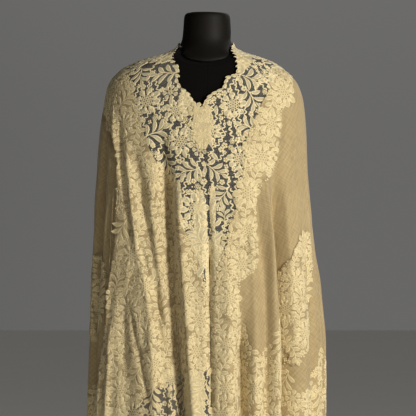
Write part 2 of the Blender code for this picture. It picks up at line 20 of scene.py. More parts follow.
import bmesh
import bpy
import numpy as np
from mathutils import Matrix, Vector

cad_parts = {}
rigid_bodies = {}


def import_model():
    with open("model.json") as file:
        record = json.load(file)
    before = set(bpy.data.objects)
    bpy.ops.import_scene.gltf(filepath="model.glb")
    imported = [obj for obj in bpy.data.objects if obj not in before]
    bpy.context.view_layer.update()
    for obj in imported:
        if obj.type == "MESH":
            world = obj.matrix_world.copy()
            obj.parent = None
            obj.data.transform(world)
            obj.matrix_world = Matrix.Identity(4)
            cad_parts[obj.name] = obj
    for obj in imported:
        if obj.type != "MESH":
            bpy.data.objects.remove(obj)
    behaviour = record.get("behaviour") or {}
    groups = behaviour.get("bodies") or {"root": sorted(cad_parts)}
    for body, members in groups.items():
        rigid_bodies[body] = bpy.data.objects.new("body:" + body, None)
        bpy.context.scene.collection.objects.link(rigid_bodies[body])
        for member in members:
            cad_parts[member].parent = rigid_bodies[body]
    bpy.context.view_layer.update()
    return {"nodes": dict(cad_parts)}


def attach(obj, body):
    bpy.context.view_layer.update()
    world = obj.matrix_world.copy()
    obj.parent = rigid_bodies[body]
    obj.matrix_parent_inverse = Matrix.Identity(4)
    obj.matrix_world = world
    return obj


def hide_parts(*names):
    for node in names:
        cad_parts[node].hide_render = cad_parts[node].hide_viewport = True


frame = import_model()

log = logging.getLogger("lace_shawl")
Array = np.ndarray
Table = Sequence[Sequence[float]]


# ---- sizes of the hang, in metres ----------------------------------------------------------------

SECTIONS: Table = (
    # height, right, left, front, back
    (1.445, 0.0575, 0.0545, 0.0560, 0.0600),
    (1.427, 0.0650, 0.0600, 0.0610, 0.0670),
    (1.414, 0.0880, 0.0820, 0.0680, 0.0740),
    (1.405, 0.1180, 0.1110, 0.0750, 0.0810),
    (1.395, 0.1500, 0.1390, 0.0820, 0.0880),
    (1.375, 0.1880, 0.1690, 0.0910, 0.0960),
    (1.345, 0.2120, 0.1960, 0.1010, 0.1040),
    (1.305, 0.2215, 0.2080, 0.1120, 0.1140),
    (1.250, 0.2300, 0.2130, 0.1240, 0.1240),
    (1.150, 0.2380, 0.2170, 0.1400, 0.1350),
    (1.020, 0.2440, 0.2290, 0.1520, 0.1410),
    (0.900, 0.2480, 0.2420, 0.1580, 0.1450),
    (0.780, 0.2530, 0.2505, 0.1610, 0.1480),
    (0.634, 0.2590, 0.2515, 0.1650, 0.1510),
    (0.400, 0.2640, 0.2560, 0.1690, 0.1550),
)
CENTRE_LEAN: Table = (
    # height, sideways shift of the centre front
    (1.360, 0.000),
    (1.291, -0.010),
    (1.200, -0.006),
    (1.126, 0.002),
    (0.900, 0.006),
    (0.400, 0.010),
)
MAIN_FOLDS: Table = (
    # side, turn at the top, turn at the bottom, top height, bottom height, depth, half width in turn
    (-1, 0.868, 0.945, 1.270, 0.400, -0.030, 0.022),
    (-1, 0.905, 0.972, 1.180, 0.400, 0.010, 0.016),
    (-1, 0.770, 0.880, 1.240, 0.800, -0.012, 0.018),
    (-1, 0.815, 0.900, 1.060, 0.400, 0.006, 0.022),
    (-1, 0.735, 0.800, 0.960, 0.400, -0.007, 0.022),
    (-1, 0.620, 0.560, 1.240, 0.400, -0.024, 0.022),
    (1, 0.845, 0.838, 1.200, 0.760, -0.008, 0.018),
    (1, 0.764, 0.767, 1.230, 0.400, -0.026, 0.026),
    (1, 0.800, 0.805, 1.160, 0.400, 0.010, 0.020),
    (1, 0.912, 0.909, 0.930, 0.400, -0.022, 0.018),
    (1, 0.950, 0.953, 1.060, 0.400, 0.008, 0.020),
    (1, 0.636, 0.632, 1.060, 0.400, -0.012, 0.020),
    (1, 0.700, 0.700, 1.000, 0.400, 0.006, 0.022),
    (-1, 0.470, 0.480, 1.150, 0.400, -0.014, 0.024),
    (-1, 0.375, 0.360, 1.200, 0.400, -0.022, 0.022),
    (-1, 0.265, 0.250, 1.120, 0.400, -0.018, 0.024),
    (-1, 0.140, 0.150, 1.220, 0.400, -0.025, 0.024),
    (-1, 0.030, 0.020, 1.080, 0.400, -0.016, 0.024),
    (1, 0.090, 0.100, 1.190, 0.400, -0.022, 0.022),
    (1, 0.200, 0.215, 1.130, 0.400, -0.019, 0.024),
    (1, 0.315, 0.330, 1.210, 0.400, -0.024, 0.023),
    (1, 0.430, 0.440, 1.110, 0.400, -0.016, 0.024),
    (1, 0.530, 0.540, 1.080, 0.400, -0.015, 0.022),
)
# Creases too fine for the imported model: soft troughs and ridges, uneven in place, length and depth.
CREASES: Table = (
    # side, turn at the top, turn at the bottom, top height, bottom height, depth, half width in turn
    (-1, 0.866, 0.944, 1.200, 0.400, -0.009, 0.007),
    (-1, 0.545, 0.620, 1.345, 1.200, -0.007, 0.010),
    (-1, 0.590, 0.680, 1.350, 1.180, -0.006, 0.009),
    (-1, 0.640, 0.740, 1.330, 1.080, 0.005, 0.011),
    (-1, 0.690, 0.775, 1.300, 1.000, -0.006, 0.009),
    (-1, 0.740, 0.800, 1.240, 0.960, 0.006, 0.010),
    (-1, 0.668, 0.664, 1.120, 0.700, -0.005, 0.009),
    (-1, 0.846, 0.936, 1.110, 0.600, -0.008, 0.009),
    (-1, 0.784, 0.892, 1.050, 0.780, -0.006, 0.008),
    (-1, 0.815, 0.900, 0.960, 0.720, -0.005, 0.006),
    (-1, 0.760, 0.850, 0.900, 0.640, -0.005, 0.008),
    (-1, 0.612, 0.566, 1.270, 0.400, -0.014, 0.011),
    (-1, 0.700, 0.632, 1.190, 0.400, 0.007, 0.012),
    (-1, 0.580, 0.540, 1.180, 0.400, 0.006, 0.009),
    (-1, 0.842, 0.905, 0.960, 0.400, -0.007, 0.009),
    (-1, 0.700, 0.690, 0.860, 0.400, 0.007, 0.012),
    (-1, 0.905, 0.965, 1.020, 0.400, -0.005, 0.007),
    (1, 0.764, 0.767, 1.100, 0.400, -0.010, 0.008),
    (1, 0.912, 0.909, 0.860, 0.400, -0.008, 0.006),
    (1, 0.730, 0.735, 1.150, 0.760, 0.005, 0.010),
    (1, 0.870, 0.878, 1.080, 0.600, 0.006, 0.012),
    (1, 0.826, 0.846, 1.020, 0.400, -0.007, 0.010),
    (1, 0.665, 0.668, 1.030, 0.500, -0.006, 0.009),
    (1, 0.580, 0.590, 1.240, 0.700, -0.005, 0.010),
    (1, 0.700, 0.770, 1.330, 1.120, -0.005, 0.012),
    (1, 0.640, 0.720, 1.290, 1.060, 0.004, 0.012),
    (1, 0.800, 0.812, 1.140, 0.860, 0.005, 0.009),
    (1, 0.940, 0.930, 0.760, 0.400, 0.005, 0.011),
    (-1, 0.420, 0.412, 0.980, 0.400, 0.006, 0.010),
    (-1, 0.310, 0.300, 1.060, 0.400, 0.006, 0.012),
    (-1, 0.200, 0.205, 0.900, 0.400, -0.007, 0.010),
    (-1, 0.085, 0.080, 1.160, 0.400, 0.006, 0.012),
    (1, 0.030, 0.050, 0.960, 0.400, -0.007, 0.010),
    (1, 0.150, 0.155, 1.020, 0.400, 0.006, 0.012),
    (1, 0.262, 0.270, 1.140, 0.400, 0.006, 0.011),
    (1, 0.375, 0.385, 0.920, 0.400, -0.007, 0.010),
    (1, 0.480, 0.490, 1.000, 0.400, 0.006, 0.011),
)
# Stretches of the see-through lace that are filled with close cloth stitch.
FILLED: Table = (
    # x, height, half width, half height
    (-0.014, 1.035, 0.015, 0.088),
    (0.012, 1.085, 0.007, 0.050),
    (-0.220, 0.657, 0.045, 0.060),
    (-0.026, 0.690, 0.022, 0.110),
    (0.026, 0.690, 0.022, 0.110),
    (-0.040, 1.302, 0.022, 0.028),
    (0.070, 1.398, 0.026, 0.026),
    (0.150, 1.352, 0.022, 0.034),
    (-0.100, 1.408, 0.030, 0.016),
    (-0.066, 1.100, 0.014, 0.040),
    (0.018, 0.955, 0.022, 0.075),
    (-0.034, 0.985, 0.020, 0.042),
)
FOLD_GROWTH = 0.16
CREASE_GROWTH = 0.09
SPLIT_TOP = 1.126
SPLIT_CURL = 0.010
SPLIT_CURL_WIDTH = 0.010

NECK_EDGE_RIGHT: Table = (
    # turn, height
    (0.500, 1.436),
    (0.620, 1.424),
    (0.833, 1.397),
    (0.886, 1.380),
    (0.898, 1.374),
    (0.906, 1.352),
    (0.925, 1.336),
    (0.949, 1.325),
    (0.969, 1.309),
    (1.000, 1.287),
)
NECK_EDGE_LEFT: Table = (
    (0.500, 1.436),
    (0.679, 1.425),
    (0.845, 1.399),
    (0.896, 1.364),
    (0.931, 1.357),
    (0.940, 1.336),
    (0.966, 1.326),
    (0.987, 1.313),
    (1.000, 1.287),
)
NECK_EDGE_BACK = 1.446

BAND_EDGE_RIGHT: Table = (
    # height, turn
    (1.377, 0.657),
    (1.361, 0.694),
    (1.345, 0.726),
    (1.302, 0.769),
    (1.242, 0.808),
    (1.197, 0.838),
    (1.145, 0.885),
    (1.113, 0.915),
    (1.072, 0.922),
    (1.027, 0.938),
    (0.993, 0.957),
    (0.958, 0.972),
    (0.915, 0.988),
    (0.893, 0.9985),
)
BAND_EDGE_LEFT: Table = (
    (1.377, 0.640),
    (1.361, 0.692),
    (1.345, 0.740),
    (1.302, 0.807),
    (1.259, 0.835),
    (1.227, 0.865),
    (1.173, 0.880),
    (1.130, 0.902),
    (1.076, 0.917),
    (1.044, 0.936),
    (0.990, 0.955),
    (0.940, 0.976),
    (0.915, 0.988),
    (0.893, 0.9985),
)
FREE_EDGE: Table = (
    # height, turn
    (1.300, 0.520),
    (1.274, 0.579),
    (1.253, 0.622),
    (1.205, 0.694),
    (1.173, 0.709),
    (1.012, 0.704),
    (0.935, 0.690),
    (0.818, 0.668),
    (0.732, 0.642),
    (0.634, 0.620),
    (0.400, 0.600),
)
EDGING_OUTLINE: Table = (
    # height, turn
    (1.368, 0.560),
    (1.332, 0.656),
    (1.311, 0.685),
    (1.270, 0.743),
    (1.227, 0.743),
    (1.197, 0.751),
    (1.152, 0.787),
    (1.113, 0.848),
    (1.053, 0.858),
    (1.001, 0.858),
    (0.950, 0.879),
    (0.924, 0.921),
    (0.872, 0.929),
    (0.834, 0.907),
    (0.775, 0.894),
)
HEM_LACE_TOP: Table = (
    # turn, height
    (-1.000, 0.742),
    (-0.925, 0.738),
    (-0.870, 0.711),
    (-0.830, 0.687),
    (-0.760, 0.660),
    (-0.620, 0.672),
    (-0.500, 0.690),
    (-0.400, 0.655),
    (-0.290, 0.700),
    (-0.150, 0.650),
    (0.000, 0.705),
    (0.140, 0.655),
    (0.290, 0.700),
    (0.400, 0.650),
    (0.545, 0.780),
    (0.640, 0.705),
    (0.730, 0.672),
    (0.765, 0.780),
    (0.785, 0.840),
    (0.820, 0.792),
    (0.855, 0.758),
    (0.900, 0.775),
    (0.945, 0.800),
    (1.000, 0.800),
)
SPRAY_LEFT: Table = (
    # height, outer turn, inner turn
    (1.035, 0.604, 0.650),
    (0.980, 0.600, 0.724),
    (0.937, 0.612, 0.757),
    (0.883, 0.630, 0.766),
    (0.842, 0.640, 0.765),
    (0.801, 0.670, 0.762),
    (0.760, 0.722, 0.752),
)
SPRAY_RIGHT: Table = (
    # height, outer turn, inner turn
    (0.985, 0.560, 0.600),
    (0.940, 0.520, 0.660),
    (0.900, 0.500, 0.665),
    (0.860, 0.505, 0.655),
    (0.790, 0.560, 0.610),
)

SIDE_TURN = 0.5
BACK_TURN = 0.5 - 5.0 / 24.0
PANEL_END_HEIGHT = 0.720
HEM_HEIGHT = 0.500
TUCK_DEPTH = 0.009


# ---- numbers -------------------------------------------------------------------------------------


class Curve:
    """A smooth curve through the rows of a table, read by the first column."""

    def __init__(self, rows: Table, column: int, fine: int = 1200) -> None:
        """Samples the curve once.

        Args:
            rows: the table.
            column: the column that the curve gives.
            fine: how many samples to keep.
        """
        ordered = sorted(rows)
        x = np.array([row[0] for row in ordered], float)
        y = np.array([row[column] for row in ordered], float)
        step = np.diff(x)
        rise = np.diff(y) / step
        slope = np.zeros_like(y)
        for i in range(1, len(x) - 1):
            if rise[i - 1] * rise[i] > 0.0:
                slope[i] = 2.0 / (1.0 / rise[i - 1] + 1.0 / rise[i])
        slope[0], slope[-1] = rise[0], rise[-1]
        self.x = np.linspace(x[0], x[-1], fine)
        i = np.clip(np.searchsorted(x, self.x, side="right") - 1, 0, len(step) - 1)
        t = (self.x - x[i]) / step[i]
        start = (1 + 2 * t) * (1 - t) ** 2 * y[i] + t * (1 - t) ** 2 * step[i] * slope[i]
        end = t * t * (3 - 2 * t) * y[i + 1] + t * t * (t - 1) * step[i] * slope[i + 1]
        self.y = start + end

    def __call__(self, at: Array | float) -> Array:
        """The curve's value, held flat past its ends."""
        return np.interp(at, self.x, self.y)


def ease(value: Array | float) -> Array:
    """Smooth step from 0 to 1."""
    t = np.clip(value, 0.0, 1.0)
    return t * t * (3.0 - 2.0 * t)


def mix(a: Array | float, b: Array | float, t: Array | float) -> Array:
    """Straight blend from a to b."""
    return a + (b - a) * t


# ---- the cloth's surface -------------------------------------------------------------------------


@dataclass
class Drape:
    """The hang of the whole shawl as one folded surface."""

    right: Curve = field(default_factory=lambda: Curve(SECTIONS, 1))
    left: Curve = field(default_factory=lambda: Curve(SECTIONS, 2))
    front: Curve = field(default_factory=lambda: Curve(SECTIONS, 3))
    back: Curve = field(default_factory=lambda: Curve(SECTIONS, 4))
    lean: Curve = field(default_factory=lambda: Curve(CENTRE_LEAN, 1))
    free: Curve = field(default_factory=lambda: Curve(FREE_EDGE, 1))
    band_right: Curve = field(default_factory=lambda: Curve(BAND_EDGE_RIGHT, 1))
    band_left: Curve = field(default_factory=lambda: Curve(BAND_EDGE_LEFT, 1))
    neck_right: Curve = field(default_factory=lambda: Curve(NECK_EDGE_RIGHT, 1))
    neck_left: Curve = field(default_factory=lambda: Curve(NECK_EDGE_LEFT, 1))
    outline: Curve = field(default_factory=lambda: Curve(EDGING_OUTLINE, 1))
    hem_line: Curve = field(default_factory=lambda: Curve(HEM_LACE_TOP, 1))

    def __post_init__(self) -> None:
        """Works out the fall of each height, down the mean of the two sides."""
        heights = [row[0] for row in SECTIONS]
        widths = [(row[1] + row[2]) / 2.0 for row in SECTIONS]
        steps = np.hypot(np.diff(heights), np.diff(widths))
        self.heights = np.array(heights)
        self.falls = np.concatenate([[0.0], np.cumsum(steps)])

    def fall_at(self, height: Array | float) -> Array:
        """The fall at a height."""
        return np.interp(height, self.heights[::-1], self.falls[::-1])

    def height_at(self, fall: Array | float) -> Array:
        """The height at a fall."""
        return np.interp(fall, self.falls, self.heights)

    def smooth(self, turn: Array, fall: Array) -> Array:
        """Points of the surface before it is folded, as rows of x, y, z."""
        height = self.height_at(fall)
        across = np.sin(np.pi * turn)
        along = np.cos(np.pi * turn)
        half = np.where(across > 0.0, self.left(height), self.right(height))
        reach = np.where(along > 0.0, self.back(height), self.front(height))
        lean = self.lean(height) * np.maximum(0.0, -along) ** 4
        return np.stack([half * across + lean, reach * along, height], axis=-1)

    @staticmethod
    def normal(point: Callable[[Array, Array], Array], turn: Array, fall: Array) -> Array:
        """Outward unit normals of a surface given as a function of turn and fall."""
        d = 0.0012
        round_body = point(turn + d, fall) - point(turn - d, fall)
        down = point(turn, fall + d) - point(turn, fall - d)
        n = np.cross(round_body, down)
        return n / np.maximum(np.linalg.norm(n, axis=-1, keepdims=True), 1e-12)

    def folds(self, turn: Array, fall: Array) -> Array:
        """How far the folds and creases move the cloth outwards."""
        height = self.height_at(fall)
        wrapped = (turn + 1.0) % 2.0 - 1.0
        total = np.zeros_like(wrapped)
        across = np.abs(wrapped)
        side_of = np.where(wrapped >= 0.0, 1.0, -1.0)
        for rows, growth in ((MAIN_FOLDS, FOLD_GROWTH), (CREASES, CREASE_GROWTH)):
            for side, first, last, top, bottom, depth, width in rows:
                place = mix(first, last, np.clip((top - height) / (top - bottom), 0.0, 1.0))
                away = np.where(side_of == side, across - place, across + place)
                shape = np.exp(-((away / width) ** 2))
                fade = ease((top - height) / growth)
                if rows is CREASES and bottom > 0.41:
                    fade = fade * ease((height - bottom) / growth)
                total += depth * fade * shape
        split = ease((SPLIT_TOP - height) / FOLD_GROWTH)
        total -= SPLIT_CURL * split * np.exp(-(((1.0 - across) / SPLIT_CURL_WIDTH) ** 2))
        return total + self.ripple(wrapped, height)

    @staticmethod
    def ripple(turn: Array, height: Array) -> Array:
        """A faint unevenness of soft cloth, under a millimetre and a half."""
        low = ease((1.34 - height) / 0.25)
        a = np.sin(71.0 * turn + 5.0 * np.sin(6.0 * height)) * np.sin(17.0 * height + 9.0 * turn)
        b = np.sin(143.0 * turn + 23.0 * height) * np.sin(31.0 * height - 20.0 * turn + 1.0)
        return low * (0.0011 * a + 0.0005 * b)

    def folded(self, turn: Array, fall: Array) -> Array:
        """Points of the folded cloth's outer face."""
        n = self.normal(self.smooth, turn, fall)
        return self.smooth(turn, fall) + n * self.folds(turn, fall)[..., None]

    # -- lines on the cloth --

    def neck_fall(self, turn: Array) -> Array:
        """Fall of the neck edge before it is scalloped."""
        across = np.abs(turn)
        side = np.where(turn > 0.0, self.neck_left(across), self.neck_right(across))
        back = mix(NECK_EDGE_BACK, NECK_EDGE_LEFT[0][1], ease(across / SIDE_TURN))
        return self.fall_at(np.where(across <= SIDE_TURN, back, side))

    def free_turn(self, height: Array) -> Array:
        """How far round the right front's outer edge lies."""
        top = mix(SIDE_TURN, FREE_EDGE[0][1], ease((1.345 - height) / 0.045))
        return np.where(height >= FREE_EDGE[0][0], top, self.free(height))

    def tuck(self, turn: Array, fall: Array) -> Array:
        """How far the right side fall sinks behind the right front's free edge."""
        height = self.height_at(fall)
        near = ease((-turn - self.free_turn(height) + 0.050) / 0.045)
        sunk = 0.25 * ease((1.372 - height) / 0.012) + 0.75 * ease((1.322 - height) / 0.050)
        return -TUCK_DEPTH * near * sunk

    def hem_top(self, turn: Array) -> Array:
        """Fall of the hem lace's upper edge."""
        return self.fall_at(self.hem_line(turn))


DRAPE = Drape()


# ---- flat map of the cloth -----------------------------------------------------------------------


@dataclass
class Chart:
    """A fine map of the whole drape, from (turn, fall) to places, with the distance round each level."""

    reach: float = 1.12
    columns: int = 560
    rows: int = 220
    lowest: float = 0.460

    def __post_init__(self) -> None:
        """Samples the folded cloth on the map's grid."""
        self.turns = np.linspace(-self.reach, self.reach, self.columns + 1)
        self.falls = np.linspace(0.0, float(DRAPE.fall_at(self.lowest)), self.rows + 1)
        self.turn, self.fall = np.meshgrid(self.turns, self.falls)
        self.point = DRAPE.folded(self.turn, self.fall)
        self.out = DRAPE.normal(DRAPE.folded, self.turn, self.fall)
        steps = np.linalg.norm(np.diff(self.point, axis=1), axis=-1)
        arc = np.concatenate([np.zeros((self.rows + 1, 1)), np.cumsum(steps, axis=1)], axis=1)
        self.arc = arc - arc[:, self.columns // 2][:, None]
        self.round_rate = np.gradient(self.arc, self.turns, axis=1)
        self.fall_rate = np.linalg.norm(np.gradient(self.point, self.falls, axis=0), axis=-1)

    def read(self, values: Array, turn: Array, fall: Array) -> Array:
        """A mapped value at places of the cloth.

        Args:
            values: one value or vector for each point of the map.
            turn: the places' turns.
            fall: the places' falls.

        Returns:
            The value at each place, blended between the map's points.
        """
        across = np.clip((turn + self.reach) / (2 * self.reach) * self.columns, 0, self.columns - 1e-6)
        down = np.clip(fall / self.falls[-1] * self.rows, 0, self.rows - 1e-6)
        c, r = across.astype(int), down.astype(int)
        u, v = across - c, down - r
        if values.ndim == 3:
            u, v = u[..., None], v[..., None]
        upper = values[r, c] * (1 - u) + values[r, c + 1] * u
        lower = values[r + 1, c] * (1 - u) + values[r + 1, c + 1] * u
        return upper * (1 - v) + lower * v

    def as_object(self) -> bpy.types.Object:
        """The map as a mesh that a Geometry Nodes tree can sample."""
        faces = grid_faces(self.rows + 1, self.columns + 1)
        mesh = mesh_of("cloth_map", self.point.reshape(-1, 3), faces)
        set_attribute(mesh, "arc", self.arc.ravel())
        out = mesh.attributes.new("out", "FLOAT_VECTOR", "POINT")
        out.data.foreach_set("vector", self.out.astype(np.float32).ravel())
        set_uv(mesh, "place", np.stack([self.turn.ravel(), self.fall.ravel()], 1))
        set_uv(mesh, "cut", np.stack([self.arc.ravel(), self.fall.ravel()], 1))
        return linked(bpy.data.objects.new("cloth_map", mesh))


def grid_faces(rows: int, columns: int) -> Array:
    """Four-sided faces of a grid of points."""
    i = np.arange(rows * columns).reshape(rows, columns)
    return np.stack([i[:-1, :-1], i[:-1, 1:], i[1:, 1:], i[1:, :-1]], -1).reshape(-1, 4)[:, ::-1]


def mesh_of(name: str, points: Array, faces: Iterable) -> bpy.types.Mesh:
    """A smooth-shaded mesh from points and faces."""
    mesh = bpy.data.meshes.new(name)
    mesh.from_pydata(np.asarray(points, float).tolist(), [], [list(map(int, face)) for face in faces])
    mesh.shade_smooth()
    return mesh


def set_uv(mesh: bpy.types.Mesh, name: str, values: Array) -> None:
    """Gives the mesh a UV map from one pair for each point."""
    corners = np.zeros(len(mesh.loops), np.int32)
    mesh.loops.foreach_get("vertex_index", corners)
    layer = mesh.uv_layers.new(name=name)
    layer.data.foreach_set("uv", values[corners].astype(np.float32).ravel())


def set_attribute(mesh: bpy.types.Mesh, name: str, values: Array | list[float]) -> None:
    """Gives each point of the mesh a number."""
    layer = mesh.attributes.new(name, "FLOAT", "POINT")
    layer.data.foreach_set("value", np.array(values, np.float32))


def add_node(
    tree: bpy.types.NodeTree, kind: str, settings: dict[str, object], inputs: dict[str | int, object],
) -> bpy.types.NodeOutputs:
    """Adds a node to a tree.

    Args:
        tree: the tree.
        kind: the node's type.
        settings: its properties, set first.
        inputs: the values or links of its sockets, by name or place.

    Returns:
        The node's outputs.
    """
    made = tree.nodes.new(kind)
    for name, value in settings.items():
        setattr(made, name, value)
    for key, value in inputs.items():
        if isinstance(value, bpy.types.NodeSocket):
            tree.links.new(value, made.inputs[key])
        else:
            made.inputs[key].default_value = value
    return made.outputs


def linked(thing: bpy.types.Object) -> bpy.types.Object:
    """Puts an object into the scene."""
    bpy.context.scene.collection.objects.link(thing)
    return thing


CHART = Chart()


# ---- sheets of cloth -----------------------------------------------------------------------------


@dataclass
class Lobes:
    """A scalloped edge: round lobes with a notch between each two."""

    pitch: float = 0.0125
    depth: float = 0.0036

    def drawn_in(self, along: Array) -> Array:
        """How far the edge is drawn in at a distance along it."""
        return self.depth * (1.0 - np.abs(np.sin(np.pi * along / self.pitch)) ** 0.7)


def neck_length() -> Curve:
    """The distance along the neck edge from the centre back, by turn."""
    turns = np.linspace(0.0, 1.0, 401)
    points = DRAPE.folded(turns, DRAPE.neck_fall(turns))
    along = np.concatenate([[0.0], np.cumsum(np.linalg.norm(np.diff(points, axis=0), axis=1))])
    return Curve(list(zip(turns, along)), 1, fine=900)


NECK_LENGTH = neck_length()
EDGE_LOBES = Lobes()
CELL = 0.005
SHEET_WALL = 0.0007
LAY_LIFT = 0.0020
CENTRE_SEAM_TURN = 0.9996
BAND_ROWS = 31
HEM_ROWS = 43
LINES_TRIED = 25
LEAST_FALL_RATE = 0.35


def split_gap(height: Array | float) -> Array:
    """Half the opening between the two fronts, in turns. They touch, but for a short gap and the bottom."""
    seam = 1.0 - CENTRE_SEAM_TURN
    gap = 0.0016 * ease((0.985 - height) / 0.020) * ease((height - 0.935) / 0.020)
    return seam + gap + 0.0040 * ease((0.70 - height) / 0.10)


@dataclass
class Sheet:
    """A stretch of cloth given by a grid of places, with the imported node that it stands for."""

    name: str
    node: str
    slot: str
    turn: Array
    fall: Array
    lift: float = 0.0
    sink: bool = False
    wall: float = SHEET_WALL
    rests_on: tuple[str, ...] = ("form_torso",)

    def build(self, finish: bpy.types.Material) -> bpy.types.Object:
        """Makes the sheet's mesh, with its flat cut as a UV map.

        Args:
            finish: the cloth's material.

        Returns:
            The sheet, in the scene.
        """
        turn, fall = self.turn, self.fall
        level = np.full(turn.shape, self.lift)
        if self.sink:
            level = level + DRAPE.tuck(turn, fall)
        out = DRAPE.normal(DRAPE.folded, turn, fall)
        point = DRAPE.folded(turn, fall) + out * level[..., None]
        faces = grid_faces(*turn.shape)
        a, b, c = (point.reshape(-1, 3)[faces[:, k]] for k in (0, 1, 2))
        facing = np.einsum("ij,ij->i", np.cross(b - a, c - a), out.reshape(-1, 3)[faces[:, 0]])
        if np.median(facing) < 0.0:
            faces = faces[:, ::-1]
        mesh = mesh_of(self.name, point.reshape(-1, 3), faces)
        cut = np.stack([CHART.read(CHART.arc, turn, fall).ravel(), fall.ravel()], 1)
        set_uv(mesh, "cut", cut)
        self.mark_filled(mesh, point.reshape(-1, 3))
        mesh.materials.append(finish)
        piece = linked(bpy.data.objects.new(self.name, mesh))
        wall = piece.modifiers.new("wall", "SOLIDIFY")
        wall.thickness, wall.offset = self.wall, -1.0
        self.measure(point)
        return piece

    @staticmethod
    def mark_filled(mesh: bpy.types.Mesh, point: Array) -> None:
        """Marks how far each point lies inside the filled stretches of the lace: 0.5 is their edge."""
        filled = np.zeros(len(point))
        for x, height, half_width, half_height in FILLED:
            away = np.hypot((point[:, 0] - x) / half_width, (point[:, 2] - height) / half_height)
            filled = np.maximum(filled, np.clip(1.5 - away, 0.0, 1.0) * (point[:, 1] < 0.0))
        set_attribute(mesh, "filled", filled)

    @staticmethod
    def runs(point: Array) -> Array:
        """The lengths of a grid's steps, both ways and across its cells."""
        steps = (
            np.diff(point, axis=0), np.diff(point, axis=1),
            point[1:, 1:] - point[:-1, :-1], point[1:, :-1] - point[:-1, 1:],
        )
        return np.concatenate([np.linalg.norm(step, axis=-1).ravel() for step in steps])

    def measure(self, point: Array) -> None:
        """Works out the cut: the cloth's own area, and the smallest rectangle that holds the cut laid flat.

        The cut is laid flat from one straight line down it, the one that changes the cloth's lengths least.

        Args:
            point: the grid of places, in metres.
        """
        a, b = point[1:, 1:] - point[:-1, :-1], point[1:, :-1] - point[:-1, 1:]
        self.area = float(np.linalg.norm(np.cross(a, b), axis=-1).sum() / 2)
        arc, real = CHART.read(CHART.arc, self.turn, self.fall), self.runs(point)
        self.misfit = np.inf
        for line in np.linspace(self.turn.min(), self.turn.max(), LINES_TRIED):
            aside = arc - CHART.read(CHART.arc, np.full_like(self.turn, line), self.fall)
            laid = self.runs(np.stack([aside, self.fall], axis=-1))
            misfit = float(np.sqrt(((laid - real) ** 2).sum() / (real**2).sum()))
            if misfit < self.misfit:
                self.misfit, best = misfit, aside
        turned = np.radians(np.arange(90.0))[:, None, None]
        across = np.ptp(best * np.cos(turned) + self.fall * np.sin(turned), axis=(1, 2))
        down = np.ptp(self.fall * np.cos(turned) - best * np.sin(turned), axis=(1, 2))
        least = int(np.argmin(across * down))
        self.width, self.length = sorted((float(across[least]), float(down[least])))

    def declare(self, piece: bpy.types.Object, laid: Sequence[bpy.types.Object]) -> None:
        """Attaches the sheet and the lace sewn on it to the root body, hides the imported node that it stands
        for and logs how far its lengths are off when laid flat.

        Args:
            piece: the sheet.
            laid: the lace that is sewn on it.
        """
        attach(piece, "root")
        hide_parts(self.node)
        for lace in laid:
            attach(lace, "root")
        area = round(self.area, 4)
        log.info("%s: lengths are off by %.1f percent when laid flat", piece.name, 100 * self.misfit)


def cells_for(length: float) -> int:
    """How many cells a length is divided into."""
    return max(2, round(length / CELL))


TOP_FALL = float(DRAPE.fall_at(BAND_EDGE_LEFT[0][0]))
LAST_BAND_FALL = float(DRAPE.fall_at(BAND_EDGE_LEFT[-1][0]))
PANEL_END = float(DRAPE.fall_at(PANEL_END_HEIGHT))
HEM_FALL = float(DRAPE.fall_at(HEM_HEIGHT))


def body_grid(first: Callable, last: Callable, width: float, top: float = TOP_FALL) -> tuple[Array, Array]:
    """Places of a panel between two turns that depend on the height, down to the hem lace.

    Args:
        first: turn of the panel's one side, by height.
        last: turn of its other side, by height.
        width: about how wide the panel is.
        top: fall of its upper edge.

    Returns:
        The turns and the falls.
    """
    levels = np.linspace(top, PANEL_END, cells_for(PANEL_END - top) + 1)
    height = DRAPE.height_at(levels)
    share = np.linspace(0.0, 1.0, cells_for(width) + 1)[None, :]
    turn = first(height)[:, None] * (1 - share) + last(height)[:, None] * share
    lowered = np.maximum(0.0, (levels - LAST_BAND_FALL) / (PANEL_END - LAST_BAND_FALL))[:, None]
    fall = levels[:, None] + (DRAPE.hem_top(turn) - PANEL_END) * lowered
    return turn, fall


def band_grid(turn: Array, edge: Array, lobes: Lobes) -> tuple[Array, Array]:
    """Places of a band between the scalloped neck edge and its outer edge."""
    drawn = lobes.drawn_in(NECK_LENGTH(np.abs(turn)))
    rate = CHART.read(CHART.fall_rate, turn, DRAPE.neck_fall(turn))
    top = DRAPE.neck_fall(turn) + drawn / np.maximum(rate, 0.4)
    share = np.linspace(0.0, 1.0, BAND_ROWS)[:, None]
    return np.repeat(turn[None, :], BAND_ROWS, axis=0), top[None, :] * (1 - share) + edge[None, :] * share


def hem_grid(first: float, last: float, width: float, lobes: Lobes) -> tuple[Array, Array]:
    """Places of the lace border between the panel's end and the scalloped bottom edge."""
    turn = np.linspace(first, last, cells_for(width) + 1)
    bottom = HEM_FALL - lobes.drawn_in(CHART.read(CHART.arc, turn, np.full_like(turn, HEM_FALL)))
    share = np.linspace(0.0, 1.0, HEM_ROWS)[:, None]
    top = DRAPE.hem_top(turn)
    return np.repeat(turn[None, :], HEM_ROWS, axis=0), top[None, :] * (1 - share) + bottom[None, :] * share


# ---- lace motifs ---------------------------------------------------------------------------------


class Motif(Enum):
    """The lace's figures. Each value is the figure's place in the motif set."""

    BLOSSOM = 0
    ROSE = 1
    SPRAY = 2
    FROND = 3
    DAISY = 4
    STARFLOWER = 5
    BUD = 6
    DOT = 7
    FAN = 8
    VINE = 9
    LEAF = 10
    EYELETS = 11


